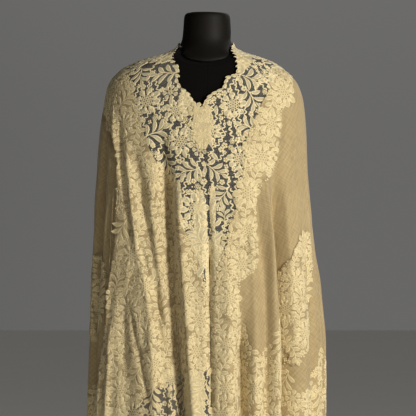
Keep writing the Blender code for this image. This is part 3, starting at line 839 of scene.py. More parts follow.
@dataclass
class Figure:
    """A flat lace figure in its own plane: points (x, y, relief), faces and how corded each point is."""

    points: list[tuple[float, float, float]] = field(default_factory=list)
    cord: list[float] = field(default_factory=list)
    faces: list[tuple[int, ...]] = field(default_factory=list)

    def strip(self, rows: Sequence[Sequence[tuple[float, ...]]], closed: bool = False) -> None:
        """Adds a grid of (x, y, relief, cord) rows, joined up if it is closed."""
        start, n = len(self.points), len(rows[0])
        for row in rows:
            for x, y, relief, cord in row:
                self.points.append((x, y, relief))
                self.cord.append(cord)
        for r in range(len(rows) if closed else len(rows) - 1):
            a, b = start + r * n, start + ((r + 1) % len(rows)) * n
            for c in range(n - 1):
                self.faces.append((a + c, b + c, b + c + 1, a + c + 1))

    def petal(
        self, at: tuple[float, float], angle: float, length: float, width: float, bend: float = 0.0,
        tip: float = 0.55, steps: int = 6, rim: float = 0.0011, vein: float = 0.5, plain: bool = False,
    ) -> None:
        """Adds a petal or leaf with a corded outline and a low middle.

        Args:
            at: its foot.
            angle: the direction that it points in.
            length: from foot to tip.
            width: across its widest place.
            bend: how far it curves to one side, in radians.
            tip: where along it the widest place lies, from 0 to 1.
            steps: how many cells it has along its length.
            rim: relief of the cord.
            vein: how much of the cord's colour its middle has.
            plain: whether it is drawn with fewer cells across.
        """
        if plain:
            side, middle = ((-1, -0.1, 0.7), (-0.64, 1, 1)), (0, 0.4, vein)
        else:
            side, middle = ((-1, -0.1, 0.7), (-0.74, 1, 1), (-0.34, 0.3, 0)), (0, 0.45, vein)
        section = (*side, middle, *((-share, relief, cord) for share, relief, cord in reversed(side)))
        rows = []
        x, y = at
        for i in range(steps + 1):
            t = i / steps
            heading = angle + bend * (t - 0.5)
            if i:
                x += math.cos(heading) * length / steps
                y += math.sin(heading) * length / steps
            shape = math.sin(math.pi * min(t ** (math.log(0.5) / math.log(tip)), 1.0))
            half = width / 2 * (0.10 + 0.90 * shape) * (0.0 if i == steps else 1.0) + 0.0002
            across = (-math.sin(heading), math.cos(heading))
            row = []
            for share, relief, cord in section:
                low = 1.0 if 0 < i < steps else 0.6
                row.append((
                    x + across[0] * half * share, y + across[1] * half * share, rim * relief * low, cord,
                ))
            rows.append(row)
        self.strip(rows)

    def ring(
        self, at: tuple[float, float], inner: float, outer: float, count: int = 8, rim: float = 0.0012,
    ) -> None:
        """Adds a corded ring round an open eyelet."""
        rows = []
        for i in range(count):
            a = 2 * math.pi * i / count
            c, s = math.cos(a), math.sin(a)
            middle = (inner + outer) / 2
            rows.append([
                (at[0] + c * outer, at[1] + s * outer, -0.0001, 0.8),
                (at[0] + c * middle, at[1] + s * middle, rim, 1.0),
                (at[0] + c * inner, at[1] + s * inner, -0.0001, 0.6),
            ])
        self.strip(rows, closed=True)

    def dot(self, at: tuple[float, float], radius: float, rim: float = 0.0011) -> None:
        """Adds a small raised dot."""
        start = len(self.points)
        self.points.append((at[0], at[1], rim))
        self.cord.append(1.0)
        for i in range(6):
            a = math.pi * i / 3
            self.points.append((at[0] + radius * math.cos(a), at[1] + radius * math.sin(a), -0.0001))
            self.cord.append(0.8)
            self.faces.append((start, start + 1 + i, start + 1 + (i + 1) % 6))

    def cord_line(self, line: Sequence[tuple[float, float]], width: float, rim: float = 0.0010) -> None:
        """Adds a raised cord along a line."""
        rows = []
        for i, (x, y) in enumerate(line):
            before, after = line[max(i - 1, 0)], line[min(i + 1, len(line) - 1)]
            dx, dy = after[0] - before[0], after[1] - before[1]
            size = math.hypot(dx, dy) or 1.0
            nx, ny = -dy / size * width / 2, dx / size * width / 2
            rows.append([(x - nx, y - ny, -0.0001, 0.8), (x, y, rim, 1.0), (x + nx, y + ny, -0.0001, 0.8)])
        self.strip(rows)

    def as_object(self, name: str) -> bpy.types.Object:
        """The figure as an object with its cord attribute."""
        mesh = mesh_of(name, np.array(self.points), self.faces)
        set_attribute(mesh, "cord", self.cord)
        return bpy.data.objects.new(name, mesh)


@dataclass
class MotifSet:
    """Draws the lace's figures at their real size."""

    blossom_radius: float = 0.0290
    rose_radius: float = 0.0180
    eyelet_pitch: float = 0.0046

    def heart(self, f: Figure, rings: int, pitch: float) -> None:
        """Adds a honeycomb of small open rings, as in the heart of a flower."""
        for i in range(-rings, rings + 1):
            for j in range(-rings, rings + 1):
                if abs(i + j) <= rings:
                    f.ring((pitch * (i + 0.5 * j), 0.866 * pitch * j), 0.29 * pitch, 0.56 * pitch, 6, 0.0010)

    def blossom(self) -> Figure:
        """A large open flower: two rows of petals round a net of eyelets."""
        f = Figure()
        r = self.blossom_radius
        for i in range(8):
            a = 2 * math.pi * (i + 0.5) / 8 + 0.08 * math.sin(3.0 * i)
            foot = (0.50 * r * math.cos(a), 0.50 * r * math.sin(a))
            length = r * (0.54 + 0.06 * math.sin(5.0 * i))
            f.petal(foot, a, length, 0.46 * r, 0.4 * math.sin(4.0 * i), 0.52, 6)
        for i in range(10):
            a = 2 * math.pi * i / 10
            foot = (0.38 * r * math.cos(a), 0.38 * r * math.sin(a))
            f.petal(foot, a, 0.40 * r, 0.32 * r, 0.3, 0.66, 4, 0.0016, plain=True)
        self.heart(f, 2, 0.0056)
        return f

    def rose(self) -> Figure:
        """A full flower of overlapping petals round seven eyelets."""
        f = Figure()
        r = self.rose_radius
        for i in range(7):
            a = 2 * math.pi * i / 7
            f.petal((0.36 * r * math.cos(a), 0.36 * r * math.sin(a)), a, 0.62 * r, 0.56 * r, 0.3, 0.62, 5)
        self.heart(f, 1, 0.95 * self.eyelet_pitch)
        return f

    def spray(self) -> Figure:
        """Long curved leaves in pairs along a stem."""
        f = Figure()
        f.cord_line([(-0.026 + 0.0050 * k, 0.0014 * math.sin(0.7 * k)) for k in range(9)], 0.0020)
        for foot, angle, length in ((-0.022, 1.10, 0.024), (-0.010, 0.92, 0.028), (0.002, 0.70, 0.025)):
            for side in (-1, 1):
                at = (foot + 0.0024 * side, 0.0012 * side)
                f.petal(at, side * angle, length, 0.0084, side * 1.0, 0.60, 8)
        f.petal((0.014, 0.001), 0.05, 0.0180, 0.0084, 0.3, 0.58, 7)
        return f

    def frond(self) -> Figure:
        """A curved stem with broad leaves on both sides and one at its tip."""
        f = Figure()
        line = [(-0.024 + 0.0068 * k, 0.005 * math.sin(0.5 * k)) for k in range(7)]
        f.cord_line(line, 0.0020)
        for k in range(0, 6):
            side = -1 if k % 2 else 1
            f.petal(line[k], side * 0.85, 0.0200 - 0.0012 * k, 0.0084, side * 0.6, 0.55, 6)
        f.petal(line[-1], 0.1, 0.0140, 0.0076, 0.2, 0.5, 5)
        return f

    def daisy(self, count: int = 5, radius: float = 0.0062) -> Figure:
        """A small flower with a hole in its middle."""
        f = Figure()
        for i in range(count):
            a = 2 * math.pi * i / count
            foot = (0.28 * radius * math.cos(a), 0.28 * radius * math.sin(a))
            f.petal(foot, a, 0.74 * radius, 0.90 * radius, 0.0, 0.6, 3, 0.0011, 0.8, plain=True)
        f.ring((0.0, 0.0), 0.0012, 0.0024, 6, 0.0013)
        return f

    def bud(self) -> Figure:
        """A pointed bud with four eyelets at its foot."""
        f = Figure()
        f.petal((-0.0020, 0.0), 0.0, 0.0100, 0.0078, 0.25, 0.5, 5)
        for side in (-1, 1):
            f.petal((-0.0030, 0.0), side * 1.2, 0.0080, 0.0044, side * 0.5, 0.5, 4, plain=True)
            f.ring((-0.0046, side * 0.0021), 0.0009, 0.0022, 6)
        return f

    def fan(self) -> Figure:
        """A lobe of the scalloped edge: short ribs under a rounded rim. It opens towards -y."""
        f = Figure()
        rim = []
        for i in range(11):
            a = math.pi * i / 10
            rim.append((0.0093 * math.cos(a), -0.0044 * math.sin(a) ** 0.8))
        f.cord_line(rim, 0.0024, 0.0009)
        for i in range(5):
            a = math.pi * (i + 0.5) / 5
            tip = (0.0080 * math.cos(a), -0.0036 * math.sin(a))
            rise = tip[1] - 0.0060
            reach = math.hypot(tip[0], rise) * 0.96
            f.petal((0.0, 0.0060), math.atan2(rise, tip[0]), reach, 0.0046, 0.0, 0.72, 3, 0.0009, plain=True)
        return f

    def vine(self) -> Figure:
        """A short wavy ribbon."""
        f = Figure()
        line = [(-0.014 + 0.0014 * k, 0.0026 * math.sin(0.80 * k)) for k in range(21)]
        f.cord_line(line, 0.0026)
        return f

    def eyelets(self) -> Figure:
        """A small flower of rings."""
        f = Figure()
        self.heart(f, 1, 0.0043)
        return f

    def figures(self) -> dict[Motif, Figure]:
        """Every figure of the set."""
        leaf, speck = Figure(), Figure()
        leaf.petal((-0.0100, 0.0), -0.2, 0.0210, 0.0092, 0.7, 0.5, 7)
        speck.dot((0.0, 0.0), 0.0018)
        return {
            Motif.BLOSSOM: self.blossom(),
            Motif.ROSE: self.rose(),
            Motif.SPRAY: self.spray(),
            Motif.FROND: self.frond(),
            Motif.DAISY: self.daisy(),
            Motif.STARFLOWER: self.daisy(4, 0.0048),
            Motif.BUD: self.bud(),
            Motif.DOT: speck,
            Motif.FAN: self.fan(),
            Motif.VINE: self.vine(),
            Motif.LEAF: leaf,
            Motif.EYELETS: self.eyelets(),
        }

    def collect(self) -> bpy.types.Collection:
        """The figures as a collection, in the order of their numbers."""
        shelf = bpy.data.collections.new("lace_motifs")
        for kind, figure in self.figures().items():
            shelf.objects.link(figure.as_object(f"motif_{kind.value:02d}_{kind.name.lower()}"))
        return shelf


REACH = {
    Motif.BLOSSOM: 0.0260, Motif.ROSE: 0.0165, Motif.SPRAY: 0.0235, Motif.FROND: 0.0185, Motif.DAISY: 0.0058,
    Motif.STARFLOWER: 0.0045, Motif.BUD: 0.0068, Motif.DOT: 0.0020, Motif.FAN: 0.0080, Motif.VINE: 0.0075,
    Motif.LEAF: 0.0078, Motif.EYELETS: 0.0064,
}


# ---- where the motifs lie ------------------------------------------------------------------------


Region = Callable[[Array, Array], Array]
PLACE_NUMBERS = ("turn0", "fall0", "spin", "size", "rate")


@dataclass(frozen=True)
class Step:
    """One round of placing motifs at random where there is room."""

    kinds: tuple[Motif, ...]
    tries: int
    spacing: float = 1.0
    inset: float = 0.7
    upright: bool = False


FULL_STEPS = (
    Step((Motif.BLOSSOM,), 400, 1.10, 0.72),
    Step((Motif.SPRAY, Motif.FROND), 1800, 0.84, 0.72, True),
    Step((Motif.ROSE,), 1500, 0.90, 0.7),
    Step((Motif.LEAF, Motif.DAISY, Motif.EYELETS, Motif.BUD), 9000, 0.84, 0.8),
    Step((Motif.DAISY, Motif.STARFLOWER, Motif.VINE), 10000, 0.82, 0.8),
    Step((Motif.STARFLOWER,), 10000, 0.82, 0.8),
    Step((Motif.DOT,), 24000, 0.95, 1.0),
)
OPEN_STEPS = (
    Step((Motif.BLOSSOM,), 300, 1.08, 0.8),
    Step((Motif.SPRAY,), 1000, 0.90, 0.75, True),
    Step((Motif.ROSE, Motif.FROND), 500, 0.92, 0.8, True),
    Step((Motif.VINE,), 2600, 0.92, 0.75, True),
    Step((Motif.DAISY, Motif.EYELETS, Motif.DAISY), 5000, 0.90, 0.75, True),
    Step((Motif.VINE, Motif.LEAF), 3000, 0.74, 0.75, True),
    Step((Motif.DAISY, Motif.STARFLOWER), 9000, 0.86, 0.8),
    Step((Motif.DOT,), 20000, 1.10, 1.0),
)


@dataclass
class Layout:
    """Places the motifs of one stretch of lace on the cloth."""

    region: Region
    box: tuple[float, float, float, float]
    seed: int
    steps: tuple[Step, ...] = FULL_STEPS
    density: float = 1.0

    def __post_init__(self) -> None:
        """Starts with no motif placed."""
        self.turn: list[float] = []
        self.fall: list[float] = []
        self.kind: list[int] = []
        self.spin: list[float] = []
        self.size: list[float] = []
        self.room: list[float] = []
        self.place = np.zeros((0, 3))
        self.random = np.random.default_rng(self.seed)

    def put(
        self, turn: float, fall: float, kind: Motif, spin: float, size: float, room: float, place: Array,
    ) -> None:
        """Keeps a motif, with the room that it takes and its place in space."""
        for values, value in (
            (self.turn, turn), (self.fall, fall), (self.kind, kind.value),
            (self.spin, spin), (self.size, size), (self.room, room),
        ):
            values.append(value)
        self.place = np.concatenate([self.place, place])

    def add(
        self, turn: float, fall: float, kind: Motif, spin: float, size: float = 1.0, room: float = 1.0,
    ) -> None:
        """Places one given motif."""
        here = CHART.read(CHART.point, np.array([turn]), np.array([fall]))
        self.put(turn, fall, kind, spin, size, REACH[kind] * size * room, here)

    def add_at(
        self, x: float, height: float, kind: Motif, spin: float, size: float = 1.0, room: float = 0.9,
    ) -> None:
        """Places one given motif on the front, at a distance to the side and a height."""
        turns = np.linspace(0.5, 1.1, 400) * (1.0 if self.box[1] > 0.0 else -1.0)
        fall = float(DRAPE.fall_at(height))
        across = CHART.read(CHART.point, turns, np.full_like(turns, fall))[:, 0]
        turn = turns[int(np.argmin(np.abs(across - x)))]
        self.add(float(turn), fall, kind, spin, size, room)

    def inside(self, turn: Array, fall: Array, margin: float) -> Array:
        """Whether the places lie in the region with a margin round them."""
        good = self.region(turn, fall)
        if margin <= 0.0:
            return good
        wide = margin / np.maximum(CHART.read(CHART.round_rate, turn, fall), 0.05)
        tall = margin / np.maximum(CHART.read(CHART.fall_rate, turn, fall), 0.3)
        for i in range(8):
            a = math.pi * i / 4
            good = good & self.region(turn + wide * math.cos(a), fall + tall * math.sin(a))
        return good

    def fill(self) -> None:
        """Places motifs round by round, the large ones first."""
        for step in self.steps:
            reach = max(REACH[kind] for kind in step.kinds)
            count = int(step.tries * self.density)
            turn = self.random.uniform(self.box[0], self.box[1], count)
            fall = self.random.uniform(self.box[2], self.box[3], count)
            good = self.inside(turn, fall, reach * step.inset)
            turn, fall = turn[good], fall[good]
            points = CHART.read(CHART.point, turn, fall)
            for i in range(len(turn)):
                kind = step.kinds[int(self.random.integers(len(step.kinds)))]
                size = float(self.random.uniform(0.90, 1.12))
                if step.upright:
                    way = math.pi / 2 * float(self.random.choice((-1, 1)))
                    spin = way + float(self.random.uniform(-0.7, 0.7))
                else:
                    spin = float(self.random.uniform(-math.pi, math.pi))
                room = REACH[kind] * size
                if len(self.room):
                    gap = np.linalg.norm(self.place - points[i], axis=1)
                    if np.any(gap < (np.array(self.room) + room) * step.spacing):
                        continue
                self.put(float(turn[i]), float(fall[i]), kind, spin, size, room, points[i:i + 1])

    def as_mesh(self, name: str) -> bpy.types.Mesh:
        """The places as a mesh of loose points with their attributes, all at the origin."""
        turn, fall = np.array(self.turn), np.array(self.fall)
        mesh = mesh_of(name, np.zeros((len(turn), 3)), [])
        rate = 1.0 / np.maximum(CHART.read(CHART.fall_rate, turn, fall), LEAST_FALL_RATE)
        for title, values in zip(PLACE_NUMBERS, (turn, fall, self.spin, self.size, rate)):
            set_attribute(mesh, title, values)
        mesh.attributes.new("kind", "INT", "POINT").data.foreach_set("value", np.array(self.kind, np.int32))
        return mesh


class LaceTree:
    """The Geometry Nodes tree that lays flat motifs on the folded cloth."""

    def __init__(self) -> None:
        """Builds the tree once."""
        tree = bpy.data.node_groups.new("lay_lace", "GeometryNodeTree")
        self.tree = tree
        face = tree.interface
        for title, kind in (
            ("Places", "Geometry"), ("Cloth map", "Object"), ("Motifs", "Collection"), ("Lift", "Float"),
            ("Relief", "Float"), ("Finish", "Material"),
        ):
            face.new_socket(title, in_out="INPUT", socket_type=f"NodeSocket{kind}")
        face.new_socket("Lace", in_out="OUTPUT", socket_type="NodeSocketGeometry")
        start = tree.nodes.new("NodeGroupInput").outputs
        motifs = self.node("GeometryNodeCollectionInfo", {}, {0: start["Motifs"], 1: True, 2: True})
        turned = self.node("FunctionNodeAxisAngleToRotation", {}, {0: (0.0, 0.0, 1.0), 1: self.named("spin")})
        size = self.node("ShaderNodeCombineXYZ", {}, {0: self.named("size"), 1: self.named("size"), 2: 1.0})
        kind = self.named("kind", "INT")
        laid = self.node("GeometryNodeInstanceOnPoints", {}, {
            "Points": start["Places"], "Instance": motifs[0], "Pick Instance": True, "Instance Index": kind,
            "Rotation": turned[0], "Scale": size[0],
        })
        real = self.node("GeometryNodeRealizeInstances", {}, {0: laid[0]})
        local = self.node("ShaderNodeSeparateXYZ", {}, {0: self.node("GeometryNodeInputPosition", {}, {})[0]})
        down = self.node("ShaderNodeMath", {"operation": "MULTIPLY_ADD"}, {
            0: local[1], 1: self.named("rate"), 2: self.named("fall0"),
        })[0]
        chart = self.node("GeometryNodeObjectInfo", {}, {0: start["Cloth map"]})["Geometry"]
        at = self.node("ShaderNodeCombineXYZ", {}, {0: self.named("turn0"), 1: down})[0]
        arc = self.sample("FLOAT", chart, self.named("arc"), "place", at)
        across = self.node("ShaderNodeMath", {"operation": "ADD"}, {0: arc[0], 1: local[0]})[0]
        on = self.node("ShaderNodeCombineXYZ", {}, {0: across, 1: down})[0]
        position = self.node("GeometryNodeInputPosition", {}, {})[0]
        point = self.sample("FLOAT_VECTOR", chart, position, "cut", on)
        out = self.sample("FLOAT_VECTOR", chart, self.named("out", "FLOAT_VECTOR"), "cut", on)
        relief = self.node("ShaderNodeMath", {"operation": "MULTIPLY_ADD"}, {
            0: local[2], 1: start["Relief"], 2: start["Lift"],
        })[0]
        raised = self.node("ShaderNodeVectorMath", {"operation": "SCALE"}, {0: out[0], "Scale": relief})[0]
        target = self.node("ShaderNodeVectorMath", {"operation": "ADD"}, {0: point[0], 1: raised})[0]
        found = self.node("FunctionNodeBooleanMath", {"operation": "AND"}, {0: arc[1], 1: point[1]})[0]
        lost = self.node("FunctionNodeBooleanMath", {"operation": "NOT"}, {0: found})[0]
        cut = self.node(
            "GeometryNodeDeleteGeometry", {"domain": "POINT"}, {"Geometry": real[0], "Selection": lost},
        )
        bent = self.node("GeometryNodeSetPosition", {}, {"Geometry": cut[0], "Position": target})
        smooth = self.node("GeometryNodeSetShadeSmooth", {}, {0: bent[0]})
        dressed = self.node(
            "GeometryNodeSetMaterial", {}, {"Geometry": smooth[0], "Material": start["Finish"]},
        )
        end = tree.nodes.new("NodeGroupOutput")
        tree.links.new(dressed[0], end.inputs[0])

    def node(self, kind: str, settings: dict, inputs: dict) -> bpy.types.NodeOutputs:
        """Adds a node to this tree."""
        return add_node(self.tree, kind, settings, inputs)

    def named(self, name: str, kind: str = "FLOAT") -> bpy.types.NodeSocket:
        """An attribute's value."""
        return self.node("GeometryNodeInputNamedAttribute", {"data_type": kind}, {"Name": name})["Attribute"]

    def sample(self, kind: str, chart: object, value: object, uv: str, at: object) -> tuple:
        """What the cloth map holds at a place of one of its flat maps.

        Returns:
            The value and whether the place is on the map.
        """
        outputs = self.node("GeometryNodeSampleUVSurface", {"data_type": kind}, {
            "Mesh": chart, "Value": value, "UV Map": self.named(uv, "FLOAT_VECTOR"), "Sample UV": at,
        })
        return outputs["Value"], outputs["Is Valid"]

    def lay(
        self, name: str, layout: Layout, chart: bpy.types.Object, motifs: bpy.types.Collection, lift: float,
        relief: float, finish: bpy.types.Material,
    ) -> bpy.types.Object:
        """Lays a layout's motifs on the cloth and turns them into a plain mesh.

        Args:
            name: the lace's name.
            layout: where the motifs lie.
            chart: the map of the cloth.
            motifs: the figures.
            lift: how far above the cloth's outer face they lie.
            relief: how strongly their cords stand out.
            finish: the lace's material.

        Returns:
            The lace as one mesh.
        """
        maker = linked(bpy.data.objects.new(name, layout.as_mesh(name)))
        modifier = maker.modifiers.new("lace", "NODES")
        modifier.node_group = self.tree
        values = {"Cloth map": chart, "Motifs": motifs, "Lift": lift, "Relief": relief, "Finish": finish}
        for item in self.tree.interface.items_tree:
            if item.in_out == "INPUT" and item.name in values:
                modifier[item.identifier] = values[item.name]
        bpy.context.view_layer.update()
        depsgraph = bpy.context.evaluated_depsgraph_get()
        mesh = bpy.data.meshes.new_from_object(maker.evaluated_get(depsgraph))
        maker.modifiers.remove(modifier)
        maker.data = mesh
        mesh.name = name
        for title in (*PLACE_NUMBERS, "kind"):
            if title in mesh.attributes:
                mesh.attributes.remove(mesh.attributes[title])
        log.info("%s: %d motifs, %d faces", name, len(layout.turn), len(mesh.polygons))
        return maker


# ---- shader maths --------------------------------------------------------------------------------


class Tie:
    """A number's socket, so that shader maths reads as expressions."""

    def __init__(self, shader: "Shader", socket: bpy.types.NodeSocket) -> None:
        """Wraps a socket of a shader's tree."""
        self.shader = shader
        self.socket = socket

    def math(self, operation: str, *others: "Tie | float") -> "Tie":
        """The result of a Math node on this value and others."""
        inputs = {0: self, **{i + 1: other for i, other in enumerate(others)}}
        return self.shader.node("ShaderNodeMath", {"operation": operation}, inputs)[0]

    def __add__(self, other: "Tie | float") -> "Tie":
        """Sum."""
        return self.math("ADD", other)

    __radd__ = __add__

    def __mul__(self, other: "Tie | float") -> "Tie":
        """Product."""
        return self.math("MULTIPLY", other)

    __rmul__ = __mul__

    def __sub__(self, other: "Tie | float") -> "Tie":
        """Difference."""
        return self.math("SUBTRACT", other)

    def __rsub__(self, other: float) -> "Tie":
        """Difference from a number."""
        return (self * -1.0) + other

    def wave(self, length: float) -> "Tie":
        """A wave of this distance, from -1 to 1."""
        return (self * (2 * math.pi / length)).math("SINE")

    def step(self, low: float, high: float) -> "Tie":
        """A smooth step from 0 at low to 1 at high."""
        inputs = {"Value": self, "From Min": low, "From Max": high}
        settings = {"interpolation_type": "SMOOTHSTEP", "clamp": True}
        return self.shader.node("ShaderNodeMapRange", settings, inputs)[0]


Colour = tuple[float, float, float]


class Shader:
    """A material made of expressions, around one Principled shader."""

    def __init__(self, name: str, roughness: float, **fixed: float | Colour) -> None:
        """Starts a material.

        Args:
            name: the material's name.
            roughness: its roughness where nothing changes it.
            fixed: other sockets that are the same all over, with underscores for spaces.
        """
        self.material = bpy.data.materials.new(name)
        self.material.use_nodes = True
        self.tree = self.material.node_tree
        self.body = self.tree.nodes["Principled BSDF"]
        self.body.inputs["Roughness"].default_value = roughness
        for title, value in fixed.items():
            value = (*value, 1.0) if isinstance(value, tuple) else value
            self.body.inputs[title.replace("_", " ")].default_value = value

    def node(self, kind: str, settings: dict, inputs: dict) -> list[Tie]:
        """Adds a node to the material, with wrapped sockets for its inputs and outputs."""
        plain = {key: value.socket if isinstance(value, Tie) else value for key, value in inputs.items()}
        return [Tie(self, socket) for socket in add_node(self.tree, kind, settings, plain)]

    def split(self, vector: Tie) -> tuple[Tie, Tie, Tie]:
        """The three numbers of a vector."""
        x, y, z = self.node("ShaderNodeSeparateXYZ", {}, {0: vector})
        return x, y, z

    def joined(self, x: Tie | float, y: Tie | float, z: Tie | float = 0.0) -> Tie:
        """A vector of three numbers."""
        return self.node("ShaderNodeCombineXYZ", {}, {0: x, 1: y, 2: z})[0]

    def cut(self) -> tuple[Tie, Tie]:
        """Where a point lies on the flat cut, in metres."""
        u, v, _ = self.split(self.node("ShaderNodeUVMap", {"uv_map": "cut"}, {})[0])
        return u, v

    def place(self) -> Tie:
        """Where a point lies on the object."""
        return self.node("ShaderNodeTexCoord", {}, {})[3]

    def noise(self, at: Tie, scale: float, detail: float = 2.0, roughness: float = 0.5) -> Tie:
        """Soft noise from 0 to 1."""
        inputs = {"Vector": at, "Scale": scale, "Detail": detail, "Roughness": roughness}
        return self.node("ShaderNodeTexNoise", {}, inputs)[0]

    def blend(self, a: Tie | Colour, b: Tie | Colour, share: Tie) -> Tie:
        """A colour between two colours."""
        a, b = ((*c, 1.0) if isinstance(c, tuple) else c for c in (a, b))
        settings = {"data_type": "RGBA", "clamp_factor": True}
        return self.node("ShaderNodeMix", settings, {0: share, 6: a, 7: b})[2]

    def finish(
        self, colour: Tie, relief: Tie | None = None, depth: float = 0.001, strength: float = 0.6,
        roughness: Tie | None = None, alpha: Tie | None = None,
    ) -> bpy.types.Material:
        """Links what changes over the surface.

        Args:
            colour: the base colour.
            relief: height of the surface's small relief, from 0 to 1.
            depth: how deep the relief is, in metres.
            strength: how strongly it shows.
            roughness: the roughness, if it changes.
            alpha: how solid the surface is, if it is open.

        Returns:
            The material.
        """
        for title, value in (("Base Color", colour), ("Roughness", roughness), ("Alpha", alpha)):
            if value is not None:
                self.tree.links.new(value.socket, self.body.inputs[title])
        if relief is not None:
            inputs = {"Strength": strength, "Distance": depth, "Height": relief}
            bump = self.node("ShaderNodeBump", {}, inputs)[0]
            self.tree.links.new(bump.socket, self.body.inputs["Normal"])
        return self.material


# ---- finishes ------------------------------------------------------------------------------------


@dataclass(frozen=True)
class WovenCloth:
    """Fine plain cloth that hangs on the bias, with slubs along its threads."""

    name: str
    light: Colour
    dark: Colour
    pitch: float = 0.0075

    def material(self) -> bpy.types.Material:
        """The cloth's material."""
        s = Shader(self.name, 0.85, Sheen_Weight=0.25, Sheen_Roughness=0.5, Specular_IOR_Level=0.2)
        u, v = s.cut()
        warp, weft = (u + v) * 0.7071, (u - v) * 0.7071
        slub_a = s.noise(s.joined(warp * 420.0, weft * 36.0), 1.0, 2.0)
        slub_b = s.noise(s.joined(warp * 36.0, weft * 420.0, 5.0), 1.0, 2.0)
        threads = warp.wave(self.pitch) * 0.5 + weft.wave(self.pitch) * 0.5
        cloudy = s.noise(s.joined(u * 9.0, v * 9.0), 1.0, 3.0)
        share = slub_a * 0.75 + slub_b * 0.75 + threads * 0.11 + cloudy * 0.5 - 0.52
        colour = s.blend(self.dark, self.light, share.step(0.0, 1.0))
        return s.finish(colour, (slub_a + slub_b) * 0.5 + threads * 0.15, 0.0008, 0.5)


@dataclass(frozen=True)
class BackedGround:
    """The cloth between applied motifs: a filled net over fine cloth."""

    name: str
    light: Colour
    dark: Colour

    def material(self) -> bpy.types.Material:
        """The ground's material."""
        s = Shader(self.name, 0.85, Sheen_Weight=0.2, Sheen_Roughness=0.5, Specular_IOR_Level=0.2)
        u, v = s.cut()
        at = s.joined(u, v)
        settings = {"feature": "DISTANCE_TO_EDGE", "voronoi_dimensions": "2D"}
        edge = s.node("ShaderNodeTexVoronoi", settings, {"Vector": at, "Scale": 230.0})[0]
        net = 1.0 - edge.step(0.02, 0.16)
        patchy = s.noise(at, 60.0, 2.0)
        share = net * 0.45 + patchy.step(0.35, 0.65) * 0.45 + 0.05
        return s.finish(s.blend(self.dark, self.light, share), net, 0.0010, 0.5)


@dataclass(frozen=True)
class OpenNet:
    """The bare net of see-through lace, with stretches that are filled with close stitches."""

    name: str
    thread: Colour
    filling: Colour
    pitch: float = 0.0030
    thickness: float = 0.20

    def material(self) -> bpy.types.Material:
        """The net's material, open between its threads."""
        s = Shader(self.name, 0.85, Specular_IOR_Level=0.2)
        u, v = s.cut()
        at = s.joined(u, v)
        settings = {"feature": "DISTANCE_TO_EDGE", "voronoi_dimensions": "2D"}
        inputs = {"Vector": at, "Scale": 1.0 / self.pitch, "Randomness": 0.35}
        edge = s.node("ShaderNodeTexVoronoi", settings, inputs)[0]
        thread = 1.0 - edge.step(self.thickness * 0.45, self.thickness * 0.55)
        ragged = s.noise(at, 110.0, 2.0) * 0.5 - 0.25
        marked = s.node("ShaderNodeAttribute", {"attribute_name": "filled"}, {})[2]
        filled = (marked + ragged).step(0.46, 0.54)
        dull = s.noise(at, 260.0, 2.0)
        dark = tuple(0.72 * c for c in self.filling)
        stitched = s.blend(dark, self.filling, dull.step(0.35, 0.65))
        return s.finish(s.blend(self.thread, stitched, filled), alpha=thread.math("MAXIMUM", filled))


@dataclass(frozen=True)
class CordedLace:
    """Ivory lace: bright cords round a duller woven filling."""

    name: str
    cord: Colour
    filling: Colour

    def material(self) -> bpy.types.Material:
        """The lace's material."""
        s = Shader(self.name, 0.72, Sheen_Weight=0.3, Sheen_Roughness=0.45, Specular_IOR_Level=0.25)
        at = s.place()
        corded = s.node("ShaderNodeAttribute", {"attribute_name": "cord"}, {})[2]
        x, y, z = s.split(at)
        twist = (x + y * 0.6 + z * 0.9).wave(0.0016) * 0.5 + 0.5
        worn = s.noise(at, 140.0, 2.0)
        share = corded.step(0.15, 0.85) * 0.82 + worn * 0.36 - 0.12
        colour = s.blend(self.filling, self.cord, share.step(0.0, 1.0))
        return s.finish(colour, twist * 0.5 + worn * 0.5, 0.0005, 0.45)


@dataclass(frozen=True)
class BlackJersey:
    """Matt black knit of the form's torso, with a seam down its front and back."""

    dark: Colour = (0.0014, 0.0013, 0.0010)
    light: Colour = (0.0044, 0.0038, 0.0028)

    def material(self) -> bpy.types.Material:
        """The jersey's material."""
        s = Shader("jersey_knit", 0.92, Sheen_Weight=0.02, Sheen_Roughness=0.4, Specular_IOR_Level=0.12)
        at = s.place()
        x, _, z = s.split(at)
        ribs = x.wave(0.0018) * 0.5 + 0.5
        courses = z.wave(0.0014) * 0.5 + 0.5
        fuzz = s.noise(at, 900.0, 2.0)
        seam = 1.0 - x.math("ABSOLUTE").step(0.0004, 0.0016)
        share = fuzz * 0.5 + ribs * courses * 0.5
        colour = s.blend(s.blend(self.dark, self.light, share), self.dark, seam * 0.8)
        return s.finish(colour, ribs * 0.4 + courses * 0.3 + fuzz * 0.3 - seam, 0.0006, 0.5)


@dataclass(frozen=True)
class NeckCover:
    """Smooth olive-black cover of the neck block."""

    dark: Colour = (0.0032, 0.0026, 0.0014)
    light: Colour = (0.0068, 0.0054, 0.0030)

    def material(self) -> bpy.types.Material:
        """The cover's material."""
        s = Shader("neck_cover", 0.62, Specular_IOR_Level=0.20)
        at = s.place()
        mottle = s.noise(at, 24.0, 3.0)
        grain = s.noise(at, 1400.0, 1.0)
        colour = s.blend(self.dark, self.light, mottle * 0.7 + grain * 0.3)
        return s.finish(colour, grain, 0.0003, 0.35, roughness=mottle * 0.18 + 0.50)


